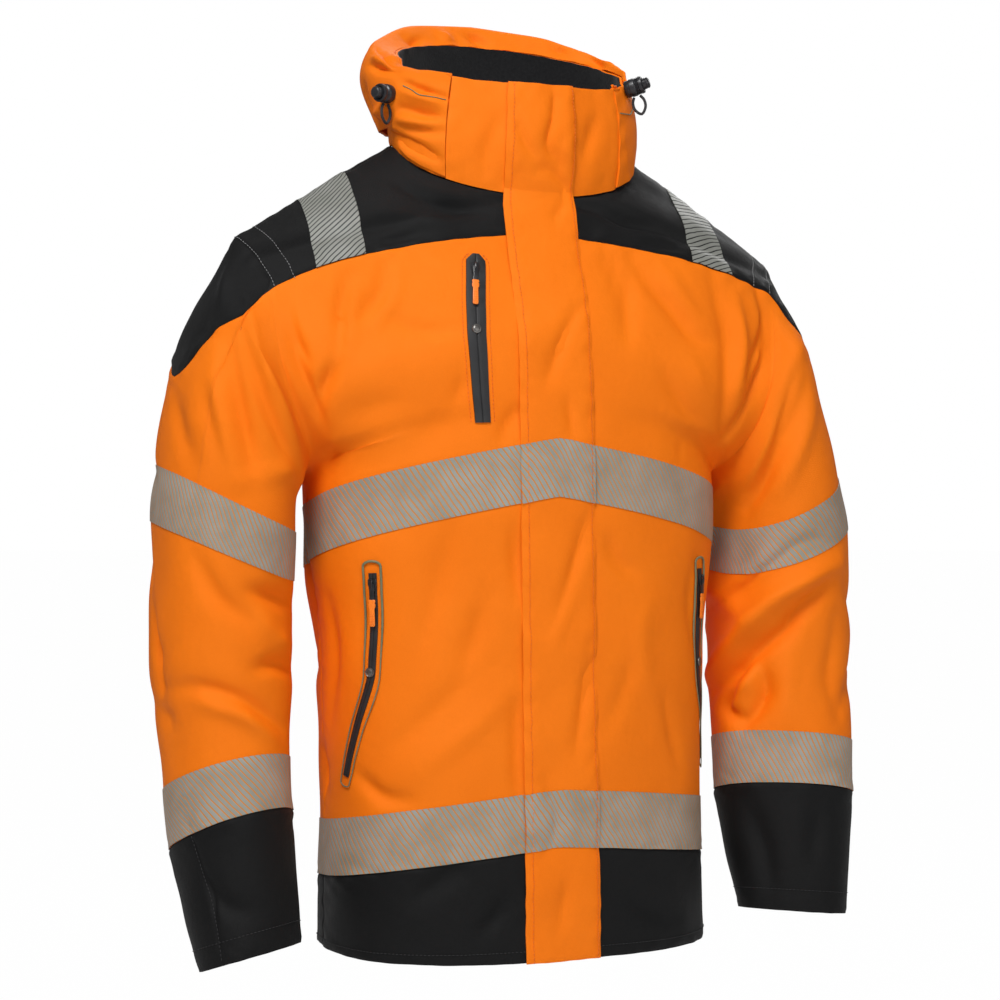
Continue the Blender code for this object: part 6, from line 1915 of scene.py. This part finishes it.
def add_piping(node, panel, side):
    """A thin cord sewn round a pocket opening, thicker round its upper end."""
    stations = path_stations(panel, HAND_PIPING, side)
    lift = TRIM_GAP + PIPING_RADIUS * PIPING_FLAT
    edges = [[panel.seat(place + along.cross(out) * half * sign, out, lift)
              for place, out, along, half in stations] for sign in (1, -1)]
    round_top = turn_round(panel, stations[0], lift, -1)
    round_foot = turn_round(panel, stations[-1], lift, 1)
    ring = edges[0] + round_foot + edges[1][::-1] + round_top
    points, outs = [p for p, _ in ring], [n for _, n in ring]
    high, low = max(p.z for p in points), min(p.z for p in points)
    radii = [PIPING_RADIUS * (PIPING_THIN + PIPING_GROWS
                              * min(max(((p.z - low) / (high - low) - PIPING_TURN) / PIPING_BLEND, 0), 1))
             for p in points]
    shape = tube(points, radii, outs, flatten=PIPING_FLAT, closed=True)
    hard_piece(node + "_line", ORIGIN, [(shape, 0)], ["trim"], "jacket", "trim", node,
               PIPING_SHARP)


def turn_round(panel, station, lift, way):
    """The rounded end of the piping, past the end of its path."""
    place, out, along, half = station
    across = along.cross(out)
    turn = [panel.seat(place + across * half * cos(a) + along * way * half * PIPING_NOSE * sin(a), out, lift)
            for a in (pi * k / PIPING_TURN_STEPS for k in range(1, PIPING_TURN_STEPS))]
    return turn if way > 0 else turn[::-1]


# ------------------------------------------------------------------ stitching
def resampled(points, step):
    points = np.array([tuple(p) for p in points])
    knots = lengths(points)
    count = max(2, int(round(knots[-1] / step)))
    places = np.linspace(0, knots[-1], count + 1)
    return np.stack([np.interp(places, knots, points[:, k]) for k in range(3)], axis=1)


def stitch_shapes(line, normals):
    """Stitches along a line on the cloth: short threads that dip in at both ends."""
    points = resampled(line, STITCH_LENGTH + STITCH_GAP)
    knots = lengths([tuple(p) for p in line])
    ends = lengths(points)
    table = np.array([tuple(n) for n in normals])
    found = np.stack([np.interp(ends / ends[-1] * knots[-1], knots, table[:, k]) for k in range(3)], axis=1)
    share = STITCH_LENGTH / (STITCH_LENGTH + STITCH_GAP)
    n = STITCH_SIDES
    faces = [(0, 1 + (i + 1) % n, 1 + i) for i in range(n)]
    faces += [(1 + i, 1 + (i + 1) % n, 1 + n + (i + 1) % n, 1 + n + i) for i in range(n)]
    faces += [(1 + n + i, 1 + n + (i + 1) % n, 1 + 2 * n) for i in range(n)]
    shapes = []
    for k in range(len(points) - 1):
        a, out = Vector(points[k]), Vector(found[k]).normalized()
        b = a + (Vector(points[k + 1]) - a) * share
        side = (b - a).normalized().cross(out)
        tips = [end - out * STITCH_DIP for end in (a, b)]
        middles = [a + (b - a) * t + out * THREAD_RADIUS * STITCH_SUNK for t in STITCH_SHOULDERS]
        rings = [p + (side * cos(x) + out * sin(x)) * THREAD_RADIUS for p in middles for x in circle(n)]
        shapes.append((([tips[0], *rings, tips[1]], faces), 0))
    return shapes


def on_cloth(panel, spots, out):
    """A line through the spots, laid on the cloth: its points and the directions out."""
    found = [panel.nearest(p, out) for p in spots]
    return [p for p, _ in found], [n for _, n in found]


# ------------------------------------------------------------------ the jacket
def add_hardware():
    """The cord locks with their loops, and the zips' sliders, pulls and snaps."""
    joints = {joint["name"]: joint for joint in frame["joints"]}
    for hand in ("_left", "_right"):
        lock = lock_frame(joints["plunger" + hand + "_press"], "cord_lock" + hand)
        add_loop(hand, lock)
        add_lock(hand, lock)
    for prefix, body_name in (("chest_zip_right", "chest_pull"), ("hand_zip_left", "hand_pull_left"),
                              ("hand_zip_right", "hand_pull_right")):
        hinge = pull_frame(joints[body_name + "_swing"], prefix + "_pull")
        add_pull(prefix, body_name, hinge)
        add_slider(prefix, hinge @ Matrix.Translation((0, 0, -(SLIDER_DEPTH - SLOT_DEPTH + HINGE_OUT))))
    for node in ("chest_snap_right", "hand_snap_left", "hand_snap_right"):
        add_snap(node)


def add_stitches(body, flap, armholes, stations):
    """All rows of stitching: grey along the yokes, black on the hems, orange on flap and chest zip."""
    front, flap_panel, near_arm = Panel(body), Panel(flap), Panel(body, NEAR)
    grey, black, orange = [], [], []
    for side, (fore, back, yoke_front, yoke_back) in armholes.items():
        seam = np.array(fore[:yoke_front + 1][::-1] + back[::-1][1:yoke_back + 1])
        for inward, up in YOKE_STITCHES:
            grey.append(on_cloth(front, seam + (-side * inward, 0, up), STITCH_LIFT))
        torso, sleeve = (part[0] for part in body.parts if part[4] == (side < 0))
        hem = torso[HEM_STITCH_ROW]
        black.append(on_cloth(front, hem[hem[:, 0] * side > TAPE_START], STITCH_LIFT))
        black.append(on_cloth(front, torso[-1 - HEM_STITCH_ROW], STITCH_LIFT))
        black.append(on_cloth(Panel(body, side), sleeve[-1 - HEM_STITCH_ROW], STITCH_LIFT))
        orange.append(on_cloth(flap_panel, flap.parts[0][0][:, side * FLAP_STITCH_COLUMN],
                               FLAP_LIFT + FLAP + STITCH_LIFT))
    black.append(on_cloth(near_arm, [seen_place(near_arm.tree, *p) for p in CUFF_SEAM], STITCH_LIFT))
    for sign in (1, -1):
        spots = [place + along.cross(out) * (half + ZIP_STITCH) * sign
                 for place, out, along, half in stations]
        orange.append(on_cloth(front, spots, STITCH_LIFT))
    for name, lines, finish, slot in (("yoke", grey, "thread_grey", "trim"),
                                      ("hem", black, "thread_black", "black_cloth"),
                                      ("front", orange, "thread_orange", "orange_cloth")):
        shapes = [shape for line in lines for shape in stitch_shapes(*line)]
        hard_piece(name + "_stitching", ORIGIN, shapes, [finish], "jacket", slot, sharp=STITCH_SHARP)


add_hardware()
body = Cloth()
armholes = {side: add_side(body, side) for side in (1, -1)}
body.settle()
calm = [tuple(node_points(n).mean(axis=0)) for n in frame["nodes"] if n.endswith("_slider") or "_snap_" in n]
fold_lines = [p for fore, back, yoke_front, yoke_back in armholes.values()
              for p in fore[yoke_front + FOLD_START:] + back[::-1][yoke_back + FOLD_START:]]
face, within, welt = crease_cloth(body, [(SEEN_CREASES, seen_place), (TURNED_CREASES, turned_place)],
                                  BODY_SEED, calm, fold_lines)
add_tapes(body, add_panels(body, face, within, welt))
flap = flap_cloth()
add_flap(flap, crease_cloth(flap, [(FLAP_CREASES, seen_place)], FLAP_SEED)[0])
hood = add_collar_and_hood()

front = Panel(body)
chest_stations = add_zip("chest_zip_right", front, CHEST_ZIP, -1)
for side in (1, -1):
    add_zip("hand_zip" + hand_of(side), front, HAND_ZIP, side)
    add_piping("hand_piping" + hand_of(side), front, side)
near_hood = [seen_place(hood.tree(), *p) for p in HOOD_CORD]
for side in (-1, 1):
    spots = smooth_line([(-side * x, y, z) for x, y, z in near_hood], HOOD_CORD_STEPS)
    add_cord("hood_cord" + hand_of(side), on_cloth(Panel(hood), spots, HOOD_CORD_RADIUS)[0],
             HOOD_CORD_RADIUS, "trim", "trim", "taut")
add_stitches(body, flap, armholes, chest_stations)
